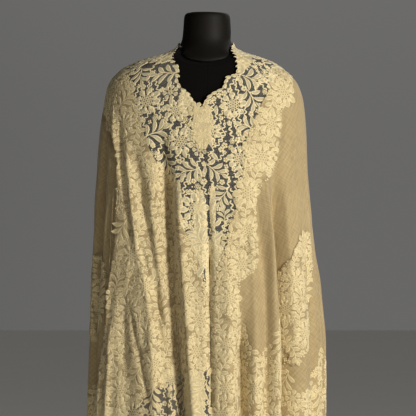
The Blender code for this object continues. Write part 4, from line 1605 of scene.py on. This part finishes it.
@dataclass(frozen=True)
class DarkWood:
    """Stained wood of the plate under the torso."""

    dark: Colour = (0.020, 0.010, 0.005)
    light: Colour = (0.070, 0.036, 0.018)

    def material(self) -> bpy.types.Material:
        """The wood's material."""
        s = Shader("stained_wood", 0.5, Coat_Weight=0.15, Coat_Roughness=0.3)
        x, y, z = s.split(s.place())
        rings = s.noise(s.joined(x * 8.0, y * 130.0, z * 130.0), 1.0, 3.0)
        pores = s.noise(s.joined(x * 60.0, y * 1100.0, z * 1100.0), 1.0, 1.0)
        colour = s.blend(self.dark, self.light, rings.step(0.3, 0.7) * 0.8 + pores * 0.2)
        return s.finish(colour, pores, 0.0003, 0.4, roughness=rings * 0.2 + 0.42)


@dataclass(frozen=True)
class BlackSteel:
    """Satin black powder coat on the stand."""

    dark: Colour = (0.014, 0.014, 0.015)
    light: Colour = (0.026, 0.026, 0.028)

    def material(self) -> bpy.types.Material:
        """The coat's material."""
        s = Shader("satin_steel", 0.4, Metallic=0.3, Specular_IOR_Level=0.5)
        at = s.place()
        peel = s.noise(at, 700.0, 2.0)
        handled = s.noise(at, 18.0, 3.0)
        colour = s.blend(self.dark, self.light, handled)
        return s.finish(colour, peel, 0.0003, 0.25, roughness=handled * 0.16 + 0.32)


# ---- the shawl -----------------------------------------------------------------------------------


def by_height(curve_turn: Callable, sign: float) -> Callable:
    """A turn given by height, on one side of the body."""
    return lambda height: sign * curve_turn(height)


def front_inner(side: int) -> Callable:
    """The inner edge of a front panel: the see-through band, and below it the split."""
    curve = DRAPE.band_left if side > 0 else DRAPE.band_right
    end = BAND_EDGE_LEFT[-1][0]

    def at(height: Array) -> Array:
        """The turn at a height."""
        split = 1.0 - split_gap(height)
        below = mix(curve(end), split, ease((end - height) / 0.012))
        return side * np.minimum(np.where(height < end, below, curve(height)), split)

    return at


def free_side(lobes: Lobes) -> Callable:
    """The right front's free outer edge, scalloped where it is free."""

    def at(height: Array) -> Array:
        """The turn at a height."""
        wave = (lobes.depth / 2 - lobes.drawn_in(1.3 - height)) * ease((1.300 - height) / 0.03)
        return -(DRAPE.free_turn(height) - wave / 0.78)

    return at


def under_free_side(height: Array) -> Array:
    """The right side fall's edge, tucked behind the free edge."""
    return -(DRAPE.free_turn(height) + 0.032 * ease((1.362 - height) / 0.020))


def fixed(turn: float) -> Callable:
    """A turn that is the same at every height."""
    return lambda height: np.full_like(height, turn)


@dataclass(frozen=True)
class Stretch:
    """A stretch of the shawl round the body: a panel and the lace border below it."""

    panel: str
    border: str
    first: Callable
    last: Callable
    width: float
    span: tuple[float, float]
    lace_on_panel: bool = False
    sink: bool = False


def lobed(curve: Callable, sign: float, depth: float, pitch: float) -> Callable:
    """An outline by height with uneven lobes that reach out by a depth."""

    def at(height: Array) -> Array:
        """The turn at a height."""
        a = np.abs(np.sin(np.pi * height / pitch + 1.3 * np.sin(9.0 * height))) ** 0.6
        b = np.abs(np.sin(2.3 * np.pi * height / pitch))
        return curve(height) + sign * (depth * a + 0.25 * depth * b - 0.4 * depth)

    return at


LEFTWARDS, RIGHTWARDS, UPWARDS, DOWNWARDS = 0.0, math.pi, -math.pi / 2, math.pi / 2
HAND_PLACED = {
    # x, height, figure, direction, size
    "neck_lace_right": (
        (-0.088, 1.366, Motif.SPRAY, LEFTWARDS + 0.10, 1.12),
        (-0.128, 1.307, Motif.BLOSSOM, 0.3, 1.0),
        (-0.108, 1.240, Motif.SPRAY, RIGHTWARDS + 0.45, 1.15),
        (-0.055, 1.220, Motif.BLOSSOM, 0.9, 1.0),
        (-0.040, 1.158, Motif.SPRAY, LEFTWARDS + 0.30, 1.05),
        (-0.066, 1.108, Motif.ROSE, 0.0, 1.0),
        (-0.047, 1.048, Motif.DAISY, 0.0, 1.4),
        (-0.010, 0.948, Motif.LEAF, DOWNWARDS - 0.4, 1.3),
        (0.016, 1.160, Motif.SPRAY, RIGHTWARDS - 0.60, 1.0),
    ),
    "neck_lace_left": (
        (0.090, 1.356, Motif.SPRAY, RIGHTWARDS - 0.30, 1.12),
        (0.055, 1.298, Motif.BLOSSOM, 0.5, 1.0),
        (0.138, 1.362, Motif.ROSE, 0.0, 1.2),
        (0.090, 1.250, Motif.SPRAY, LEFTWARDS - 0.35, 1.12),
        (0.068, 1.184, Motif.BLOSSOM, 0.2, 0.95),
        (0.037, 1.066, Motif.SPRAY, UPWARDS, 0.72),
        (0.026, 1.020, Motif.LEAF, LEFTWARDS + 0.9, 1.2),
    ),
}
ROSETTE_TOP = 1.289
ROSETTE_BOTTOM = 1.203
ROSETTE_HEIGHT = 0.086
ROSETTE_ASIDE = 0.002
BACK_BAND_COLUMNS = 97
EDGE_SAMPLES = 240
EDGE_FAN_SIZE = 0.68
# How far the lace keeps from the neck edge (fall), and how far it reaches over a seam (turn).
EDGE_MARGIN = 0.006
SEAM_REACH = 0.011
# The V's two edges are caught together down to the first height, and the open lace ends at the second.
CAUGHT_DOWN_TO = 1.140
BAND_LACE_END = 0.900
RELIEF_ON_NET = 1.0
RELIEF_ON_CLOTH = 0.6


@dataclass
class Shawl:
    """The whole shawl: panels of cloth, see-through bands and the lace laid on both."""

    ivory: Colour = (0.800, 0.680, 0.400)
    filling: Colour = (0.620, 0.505, 0.280)
    filling_on_net: Colour = (0.520, 0.455, 0.295)
    ivory_on_net: Colour = (0.88, 0.76, 0.47)
    net_thread: Colour = (0.235, 0.225, 0.195)
    plain_light: Colour = (0.555, 0.435, 0.232)
    plain_dark: Colour = (0.340, 0.256, 0.132)
    lobes: Lobes = field(default_factory=lambda: EDGE_LOBES)

    def finishes(self) -> None:
        """Makes the cloths' and the lace's materials."""
        self.plain = WovenCloth("sheer_cloth", self.plain_light, self.plain_dark).material()
        self.backed = BackedGround("backed_ground", self.filling, self.plain_dark).material()
        self.close = BackedGround("close_stitch", self.ivory, self.filling).material()
        self.net = OpenNet("open_net", self.net_thread, self.ivory).material()
        self.on_cloth = CordedLace("lace_on_cloth", self.ivory, self.filling).material()
        self.on_net = CordedLace("lace_on_net", self.ivory_on_net, self.filling_on_net).material()

    # -- the grids --

    def band(self, side: int) -> tuple[Array, Array]:
        """The see-through band beside the neck on one side, down to the end of the lace V."""
        inner = front_inner(side)
        top_turn = abs(float(inner(np.array([BAND_EDGE_LEFT[0][0]]))[0]))
        height = np.linspace(BAND_EDGE_LEFT[0][0], BAND_EDGE_LEFT[-1][0], 92)
        turn = np.concatenate([
            side * np.linspace(SIDE_TURN, top_turn, 19)[:-1],
            inner(height),
            side * np.linspace(abs(float(inner(height)[-1])), CENTRE_SEAM_TURN, 4)[1:],
        ])
        edge = np.concatenate([np.full(18, TOP_FALL), DRAPE.fall_at(height), np.full(3, LAST_BAND_FALL)])
        turns, falls = band_grid(turn, edge, self.lobes)
        limit = 1.0 - split_gap(DRAPE.height_at(falls))
        return np.sign(turns) * np.minimum(np.abs(turns), limit), falls

    def hem(self, first: Callable, last: Callable, width: float) -> tuple[Array, Array]:
        """The border between the end of a panel and the scalloped bottom edge."""
        end = np.array([PANEL_END_HEIGHT])
        turn, fall = hem_grid(float(first(end)[0]), float(last(end)[0]), width, self.lobes)
        height = DRAPE.height_at(fall)
        share = np.linspace(0.0, 1.0, turn.shape[1])[None, :]
        following = first(height) * (1 - share) + last(height) * share
        return mix(turn, following, ease(np.linspace(0.0, 2.5, len(turn)))[:, None]), fall

    def patch(
        self, outer: Callable, inner: Callable, top: float, bottom: float, width: float,
        ends: tuple[float, float],
    ) -> tuple[Array, Array]:
        """A patch between two outlines and two heights, rounded at its ends.

        Args:
            outer: turn of its outer side, by height.
            inner: turn of its inner side, by height.
            top: its highest place.
            bottom: its lowest place.
            width: about how wide it is.
            ends: how far its top and its bottom are rounded.

        Returns:
            The turns and the falls.
        """
        levels = np.linspace(DRAPE.fall_at(top), DRAPE.fall_at(bottom), cells_for(top - bottom) + 1)
        height = DRAPE.height_at(levels)
        share = np.linspace(0.0, 1.0, cells_for(width) + 1)[None, :]
        a, b = outer(height), inner(height)
        full = np.ones_like(height)
        for reach, away in ((ends[0], top - height), (ends[1], height - bottom)):
            if reach > 0.0:
                full = full * np.sqrt(np.clip(1.0 - (1.0 - np.clip(away / reach, 0.0, 1.0)) ** 2, 0.02, 1.0))
        middle = (a + b) / 2
        a, b = middle + (a - middle) * full, middle + (b - middle) * full
        turn = a[:, None] * (1 - share) + b[:, None] * share
        return turn, np.repeat(levels[:, None], turn.shape[1], axis=1)

    def rosette_grid(self) -> tuple[Array, Array]:
        """The opaque patch below the V."""
        height = np.linspace(ROSETTE_TOP, ROSETTE_BOTTOM, 20)
        t = (ROSETTE_TOP - height) / ROSETTE_HEIGHT
        half = 0.031 * np.sin(np.pi * (0.16 + 0.80 * t)) ** 0.7 * (1 + 0.10 * np.sin(19 * t))
        share = np.linspace(-1.0, 1.0, 15)[None, :]
        turn = 1.0 + ROSETTE_ASIDE + half[:, None] * share
        drop = 0.010 * np.abs(share) * np.maximum(0, 1 - 3 * t)[:, None]
        return turn, DRAPE.fall_at(height)[:, None] - drop

    def stretches(self) -> tuple[Stretch, ...]:
        """The panels, with the spans that their borders' motifs are drawn from."""
        free, right_in, left_in = free_side(self.lobes), front_inner(-1), front_inner(1)
        side, back = fixed(SIDE_TURN), fixed(BACK_TURN)
        back_right = fixed(-BACK_TURN)
        return (
            Stretch(
                "front_right", "hem_lace_front_right", free, right_in, 0.34, (-1.0, -0.55),
                lace_on_panel=True,
            ),
            Stretch("front_left", "hem_lace_front_left", side, left_in, 0.42, (0.5, 1.0)),
            Stretch(
                "side_fall_right", "hem_lace_side_right", under_free_side, back_right, 0.30, (-0.68, -0.29),
                sink=True,
            ),
            Stretch("side_fall_left", "hem_lace_side_left", back, side, 0.18, (0.29, 0.5)),
            Stretch("back_panel", "hem_lace_back", back_right, back, 0.50, (-0.3, 0.3)),
        )

    def sheets(self) -> list[tuple[Sheet, bpy.types.Material]]:
        """Every stretch of cloth, with its material."""
        left_in = front_inner(1)
        made = []

        def add(
            node: str, slot: str, grid: tuple[Array, Array], finish: bpy.types.Material, **more: object,
        ) -> None:
            """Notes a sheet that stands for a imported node."""
            made.append((Sheet(f"{node}_cloth", node, slot, grid[0], grid[1], **more), finish))

        for one in self.stretches():
            slot, finish = ("backed_lace", self.backed) if one.lace_on_panel else ("sheer_cloth", self.plain)
            add(one.panel, slot, body_grid(one.first, one.last, one.width), finish, sink=one.sink)
        add("neck_lace_right", "open_lace", self.band(-1), self.net)
        add("neck_lace_left", "open_lace", self.band(1), self.net)
        turns = np.linspace(-SIDE_TURN, SIDE_TURN, BACK_BAND_COLUMNS)
        around = band_grid(turns, np.full(BACK_BAND_COLUMNS, TOP_FALL), self.lobes)
        add("neck_lace_back", "open_lace", around, self.net)
        for one in self.stretches():
            finish = self.net if one.lace_on_panel else self.plain
            add(one.border, "open_lace", self.hem(one.first, one.last, one.width), finish, sink=one.sink)
        outer = lobed(DRAPE.outline, -1, 0.012, 0.036)
        edging = self.patch(
            lambda h: np.minimum(outer(h), left_in(h) - 0.006), left_in, 1.374, 0.790, 0.12, (0.0, 0.03),
        )
        sides = []
        for rows in (SPRAY_LEFT, SPRAY_RIGHT):
            sides.append((lobed(Curve(rows, 1), -1, 0.008, 0.040), lobed(Curve(rows, 2), 1, 0.008, 0.034)))
        spray_left = self.patch(*sides[0], 1.034, 0.748, 0.10, (0.04, 0.09))
        mirrored = (by_height(line, -1.0) for line in sides[1])
        spray_right = self.patch(*mirrored, 0.985, 0.785, 0.10, (0.04, 0.05))
        for node, grid, under, sink in (
            ("edge_lace_left", edging, "front_left_cloth", False),
            ("spray_lace_left", spray_left, "front_left_cloth", False),
            ("spray_lace_right", spray_right, "side_fall_right_cloth", True),
        ):
            add(node, "backed_lace", grid, self.backed, lift=LAY_LIFT, sink=sink, rests_on=(under,))
        add("centre_rosette", "backed_lace", self.rosette_grid(), self.close, lift=LAY_LIFT,
            rests_on=("neck_lace_right_cloth", "neck_lace_left_cloth"))
        return made

    # -- the lace --

    def edge_fans(
        self, layout: Layout, turn: Array, fall: Array, start: float, outward: float,
    ) -> None:
        """Sets fans along an edge, one for each lobe.

        Args:
            layout: where they go.
            turn: the edge's turns, in order.
            fall: its falls.
            start: distance of the first fan's middle from the edge's start.
            outward: 1 or -1, the side of the line that is off the cloth.
        """
        points = DRAPE.folded(turn, fall)
        along = np.concatenate([[0.0], np.cumsum(np.linalg.norm(np.diff(points, axis=0), axis=1))])
        pitch = self.lobes.pitch
        numbers = np.arange(len(turn))

        def read(values: Array, i: float) -> float:
            """A value between the samples of the edge."""
            return float(np.interp(i, numbers, values))

        arc = CHART.read(CHART.arc, turn, fall)
        down = (fall - fall[0]) * CHART.read(CHART.fall_rate, turn, fall)
        at = start
        while at < along[-1] - pitch * 0.3:
            here, before, after = (np.interp(at + d, along, numbers) for d in (0.0, -0.008, 0.008))
            tangent = (read(arc, after) - read(arc, before), read(down, after) - read(down, before))
            spin = math.atan2(tangent[1], tangent[0]) + (0.0 if outward > 0 else math.pi)
            inner = 0.0050 * EDGE_FAN_SIZE
            place = (np.array([read(turn, here)]), np.array([read(fall, here)]))
            rate_t = float(CHART.read(CHART.round_rate, *place)[0])
            rate_f = float(CHART.read(CHART.fall_rate, *place)[0])
            t = read(turn, here) - inner * math.sin(spin) / max(rate_t, 0.05)
            f = read(fall, here) + inner * math.cos(spin) / max(rate_f, LEAST_FALL_RATE)
            layout.add(t, f, Motif.FAN, spin, EDGE_FAN_SIZE, 0.95)
            at += pitch

    def neck_edge(self, first: float, last: float) -> tuple[Array, Array, float]:
        """The neck edge between two turns, and where its first lobe's middle lies along it."""
        turn = np.linspace(first, last, EDGE_SAMPLES)
        begin = float(NECK_LENGTH(abs(first)))
        pitch = self.lobes.pitch
        if abs(last) > abs(first):
            start = (math.floor(begin / pitch + 0.5) + 0.5) * pitch - begin
        else:
            start = begin - (math.floor(begin / pitch - 0.5) + 0.5) * pitch
        return turn, DRAPE.neck_fall(turn), start

    def laces(self) -> dict[str, tuple[Layout, float, bpy.types.Material]]:
        """The lace of each sheet: its layout, lift and material."""
        free, right_in, left_in = free_side(self.lobes), front_inner(-1), front_inner(1)
        height = DRAPE.height_at
        made: dict[str, tuple[Layout, float, bpy.types.Material]] = {}

        def over_band(turn: Array, fall: Array) -> Array:
            """Below the neck edge."""
            wrapped = (turn + 1.0) % 2.0 - 1.0
            return fall > DRAPE.neck_fall(wrapped) + EDGE_MARGIN

        def right_front(turn: Array, fall: Array) -> Array:
            """The right front, from the free edge to the see-through band."""
            h = height(fall)
            across = (turn < free(h)) & (turn > right_in(h) - SEAM_REACH) & (turn > -1.0)
            return across & (fall > TOP_FALL) & (fall < DRAPE.hem_top(turn) - 0.004)

        def right_band(turn: Array, fall: Array) -> Array:
            """The see-through band on the right."""
            h = height(fall)
            limit = np.where(h > CAUGHT_DOWN_TO, -1.075, -(1.0 - split_gap(h)))
            outer = (turn < right_in(h)) | (fall < TOP_FALL)
            return over_band(turn, fall) & outer & (turn > limit) & (turn < -SIDE_TURN) & (h > BAND_LACE_END)

        def left_band(turn: Array, fall: Array) -> Array:
            """The see-through band on the left."""
            h = height(fall)
            limit = np.where(h > CAUGHT_DOWN_TO, 0.925, 1.0 - split_gap(h))
            outer = (turn > left_in(h)) | (fall < TOP_FALL)
            return over_band(turn, fall) & outer & (turn < limit) & (turn > SIDE_TURN) & (h > BAND_LACE_END)

        def edging(turn: Array, fall: Array) -> Array:
            """The lace laid on the left front beside the band."""
            h = height(fall)
            across = (turn > DRAPE.outline(h) - 0.010) & (turn < left_in(h) + SEAM_REACH) & (turn < 1.0)
            return across & (h < 1.374) & (h > 0.775)

        def back_band(turn: Array, fall: Array) -> Array:
            """The see-through band behind the neck."""
            down = (fall > DRAPE.neck_fall(turn) + EDGE_MARGIN) & (fall < TOP_FALL + 0.014)
            return down & (np.abs(turn) < SIDE_TURN)

        def between(rows: Table, sign: int, high: float, low: float) -> Region:
            """A spray between its two outlines."""
            out, into = Curve(rows, 1), Curve(rows, 2)
            return lambda turn, fall: (
                (sign * turn > out(height(fall)) - 0.006) & (sign * turn < into(height(fall)) + 0.006)
                & (height(fall) < high) & (height(fall) > low)
            )

        def hem(first: Callable, last: Callable) -> Region:
            """A border below a panel, between its two sides."""
            return lambda turn, fall: (
                (turn > np.minimum(first(height(fall)), last(height(fall))))
                & (turn < np.maximum(first(height(fall)), last(height(fall))))
                & (fall > DRAPE.hem_top(turn) - 0.022) & (fall < HEM_FALL - 0.010)
            )

        low, cloth, net = TOP_FALL, self.on_cloth, self.on_net
        left_spray, right_spray = between(SPRAY_LEFT, 1, 1.03, 0.752), between(SPRAY_RIGHT, -1, 0.98, 0.795)
        for name, region, box, seed, steps, lift, finish in (
            ("front_right", right_front, (-1.0, -0.5, low, 1.0), 11, FULL_STEPS, 0.0, cloth),
            ("neck_lace_right", right_band, (-1.08, -0.5, 0.0, 0.70), 12, OPEN_STEPS, 0.0, net),
            ("neck_lace_left", left_band, (0.5, 1.0, 0.0, 0.70), 13, OPEN_STEPS, 0.0, net),
            ("edge_lace_left", edging, (0.5, 1.0, low, 0.85), 14, FULL_STEPS, LAY_LIFT, cloth),
            ("spray_lace_left", left_spray, (0.58, 0.79, 0.4, 0.9), 15, FULL_STEPS, LAY_LIFT, cloth),
            ("spray_lace_right", right_spray, (-0.69, -0.48, 0.4, 0.9), 16, FULL_STEPS, LAY_LIFT, cloth),
            ("neck_lace_back", back_band, (-0.5, 0.5, 0.0, low + 0.014), 17, OPEN_STEPS, 0.0, net),
        ):
            made[name] = (Layout(region, box, seed, steps), lift, finish)
        for i, one in enumerate(self.stretches()):
            steps, share = (OPEN_STEPS, 0.55) if one.lace_on_panel else (FULL_STEPS, 0.8)
            region, box = hem(one.first, one.last), (*one.span, 0.55, HEM_FALL)
            made[one.border] = (Layout(region, box, 20 + i, steps, share), 0.0, cloth)
            ends = (float(side(np.array([HEM_HEIGHT]))[0]) for side in (one.first, one.last))
            fans = np.linspace(*ends, EDGE_SAMPLES)
            outward = -1 if fans[-1] > fans[0] else 1
            falls = np.full(EDGE_SAMPLES, HEM_FALL)
            self.edge_fans(made[one.border][0], fans, falls, self.lobes.pitch / 2, outward)
        for name, first, last in (
            ("neck_lace_right", -0.5, -1.0), ("neck_lace_left", 0.5, 1.0),
            ("neck_lace_back", 0.0, -0.5), ("neck_lace_back", 0.0, 0.5),
        ):
            turn, fall, start = self.neck_edge(first, last)
            self.edge_fans(made[name][0], turn, fall, start, 1 if last > first else -1)
        self.by_hand(made)
        return made

    def by_hand(self, made: dict) -> None:
        """Places the large motifs that give the lace V its main figures."""
        for name, figures in HAND_PLACED.items():
            for figure in figures:
                made[name][0].add_at(*figure)

    def rosette_layout(self) -> Layout:
        """The filled patch below the V, of close flowers."""
        turn, fall = self.rosette_grid()
        half = Curve(list(zip(fall[:, 7], (turn[:, -1] - turn[:, 0]) / 2)), 1)

        def region(t: Array, f: Array) -> Array:
            """The patch with a narrow margin."""
            return (np.abs(t - 1.002) < half(f) + 0.003) & (f > fall.min()) & (f < fall.max() + 0.002)

        steps = (
            Step((Motif.ROSE,), 400, 1.25, 0.10),
            Step((Motif.DAISY,), 900, 1.00, 0.10),
            Step((Motif.STARFLOWER,), 500, 1.10, 0.3),
            Step((Motif.DOT,), 500, 2.00, 0.5),
        )
        return Layout(region, (0.955, 1.05, float(fall.min()), float(fall.max())), 31, steps)

    def build(self) -> None:
        self.finishes()
        chart = CHART.as_object()
        motifs = MotifSet().collect()
        tree = LaceTree()
        laces = self.laces()
        laces["centre_rosette"] = (self.rosette_layout(), LAY_LIFT, self.on_cloth)
        for sheet, finish in self.sheets():
            piece = sheet.build(finish)
            laid = []
            if sheet.node in laces:
                layout, lift, material = laces[sheet.node]
                layout.fill()
                relief = RELIEF_ON_NET if material is self.on_net else RELIEF_ON_CLOTH
                laid.append(tree.lay(f"{sheet.node}_motifs", layout, chart, motifs, lift, relief, material))
            sheet.declare(piece, laid)
        for thing in [chart, *motifs.objects]:
            bpy.data.objects.remove(thing)


# ---- the form and its stand ----------------------------------------------------------------------


@dataclass
class DressForm:
    """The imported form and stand, which stay as they are and get their finishes."""

    finishes: dict[str, Callable[[], bpy.types.Material]] = field(default_factory=lambda: {
        "form_torso": BlackJersey().material,
        "form_neck": NeckCover().material,
        "form_plate": DarkWood().material,
        "stand_pole": BlackSteel().material,
        "stand_collar": BlackSteel().material,
        "stand_base": BlackSteel().material,
    })

    def build(self) -> None:
        """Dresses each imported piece, and gives the padded ones a rounder skin."""
        made: dict[Callable, bpy.types.Material] = {}
        for node, maker in self.finishes.items():
            kind = type(maker.__self__)
            made[kind] = made.get(kind) or maker()
            piece = frame["nodes"][node]
            if node in ("form_torso", "form_neck"):
                piece = self.rounded(node)
            piece.data.materials.clear()
            piece.data.materials.append(made[kind])
            log.info("%s: dressed in %s", node, made[kind].name)

    @staticmethod
    def rounded(node: str) -> bpy.types.Object:
        """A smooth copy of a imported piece, which stands for it."""
        mesh = frame["nodes"][node].data.copy()
        work = bmesh.new()
        work.from_mesh(mesh)
        bmesh.ops.remove_doubles(work, verts=work.verts, dist=0.00005)
        bmesh.ops.join_triangles(work, faces=work.faces, angle_face_threshold=0.6, angle_shape_threshold=0.9)
        work.to_mesh(mesh)
        work.free()
        mesh.shade_smooth()
        skin = linked(bpy.data.objects.new(f"{node}_skin", mesh))
        finer = skin.modifiers.new("finer", "SUBSURF")
        finer.levels = finer.render_levels = 2
        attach(skin, "root")
        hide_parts(node)
        return skin


# ---- studio --------------------------------------------------------------------------------------


ROOM_COLOUR = (0.93, 0.92, 0.90, 1.0)
ROOM_LEVELS = (
    # axis, start and end of the step along it, strength before and after; their product is the room's
    (1, 0.0, 0.9, 0.085, 0.27),
    (2, 0.0, 0.8, 0.55, 1.6),
    (0, -0.55, 0.0, 0.08, 1.0),
)
LAMPS = (
    # name, place, size, watts, colour
    ("key", (2.8, -3.3, 1.9), 0.9, 158.0, (1.0, 0.95, 0.87)),
    ("fill", (-0.3, -4.8, 1.0), 1.4, 17.0, (1.0, 0.96, 0.90)),
    ("rim", (1.6, 2.4, 2.9), 1.6, 12.0, (1.0, 0.98, 0.95)),
)
LAMP_AIM = (0.0, 0.0, 1.1)
FLOOR_DARK = (0.86, 0.84, 0.80)
FLOOR_LIGHT = (0.90, 0.88, 0.84)
FLOOR_DROP = 0.0005


@dataclass
class Studio:
    """A plain pale floor, soft light and a level camera in front of the chest."""

    view_width: float = 0.895
    distance: float = 4.5
    aim: tuple[float, float] = (0.002, 1.081)
    sensor: float = 36.0
    floor_half: float = 14.0

    @staticmethod
    def area(name: str, at: Colour, size: float, power: float, colour: Colour) -> None:
        """Adds a soft light that faces the chest."""
        data = bpy.data.lights.new(name, "AREA")
        data.shape = "DISK"
        data.size, data.energy, data.color = size, power, colour
        lamp = linked(bpy.data.objects.new(name, data))
        lamp.location = at
        aim = Vector(LAMP_AIM) - Vector(at)
        lamp.rotation_euler = aim.to_track_quat("-Z", "Y").to_euler()

    def surroundings(self) -> None:
        """A pale room, brighter behind the form than in front of it, so that the folds keep their shade."""
        world = bpy.data.worlds.new("studio")
        bpy.context.scene.world = world
        world.use_nodes = True
        tree = world.node_tree
        back = tree.nodes["Background"]
        back.inputs[0].default_value = ROOM_COLOUR
        place = add_node(tree, "ShaderNodeTexCoord", {}, {})["Generated"]
        split = add_node(tree, "ShaderNodeSeparateXYZ", {}, {0: place})
        strength: bpy.types.NodeSocket | float = 1.0
        for axis, start, end, low, high in ROOM_LEVELS:
            level = add_node(tree, "ShaderNodeMapRange", {"interpolation_type": "SMOOTHSTEP"}, {
                "Value": split[axis], "From Min": start, "From Max": end, "To Min": low, "To Max": high,
            })
            product = {0: level[0], 1: strength}
            strength = add_node(tree, "ShaderNodeMath", {"operation": "MULTIPLY"}, product)[0]
        tree.links.new(strength, back.inputs[1])

    def build(self) -> None:
        """Makes the floor, the lights and the camera."""
        signs = ((-1, -1), (1, -1), (1, 1), (-1, 1))
        corners = np.array([(x * self.floor_half, y * self.floor_half, 0.0) for x, y in signs])
        floor = linked(bpy.data.objects.new("studio_floor", mesh_of("studio_floor", corners, [(0, 1, 2, 3)])))
        s = Shader("pale_floor", 0.8)
        speckle = s.noise(s.place(), 3.0, 3.0)
        floor.data.materials.append(s.finish(s.blend(FLOOR_DARK, FLOOR_LIGHT, speckle)))
        floor.location.z = -FLOOR_DROP
        self.surroundings()
        for lamp in LAMPS:
            self.area(*lamp)
        data = bpy.data.cameras.new("camera")
        data.sensor_width = self.sensor
        data.lens = self.sensor * self.distance / self.view_width
        camera = linked(bpy.data.objects.new("camera", data))
        camera.location = (self.aim[0], -self.distance, self.aim[1])
        camera.rotation_euler = (math.pi / 2, 0.0, 0.0)
        bpy.context.scene.camera = camera
        bpy.context.scene.view_settings.view_transform = "Standard"


def main() -> None:
    """Builds the shawl, dresses the form and sets up the studio."""
    logging.basicConfig(level=logging.INFO, format="%(message)s")
    Shawl().build()
    DressForm().build()
    Studio().build()


if __name__ == "__main__":
    main()
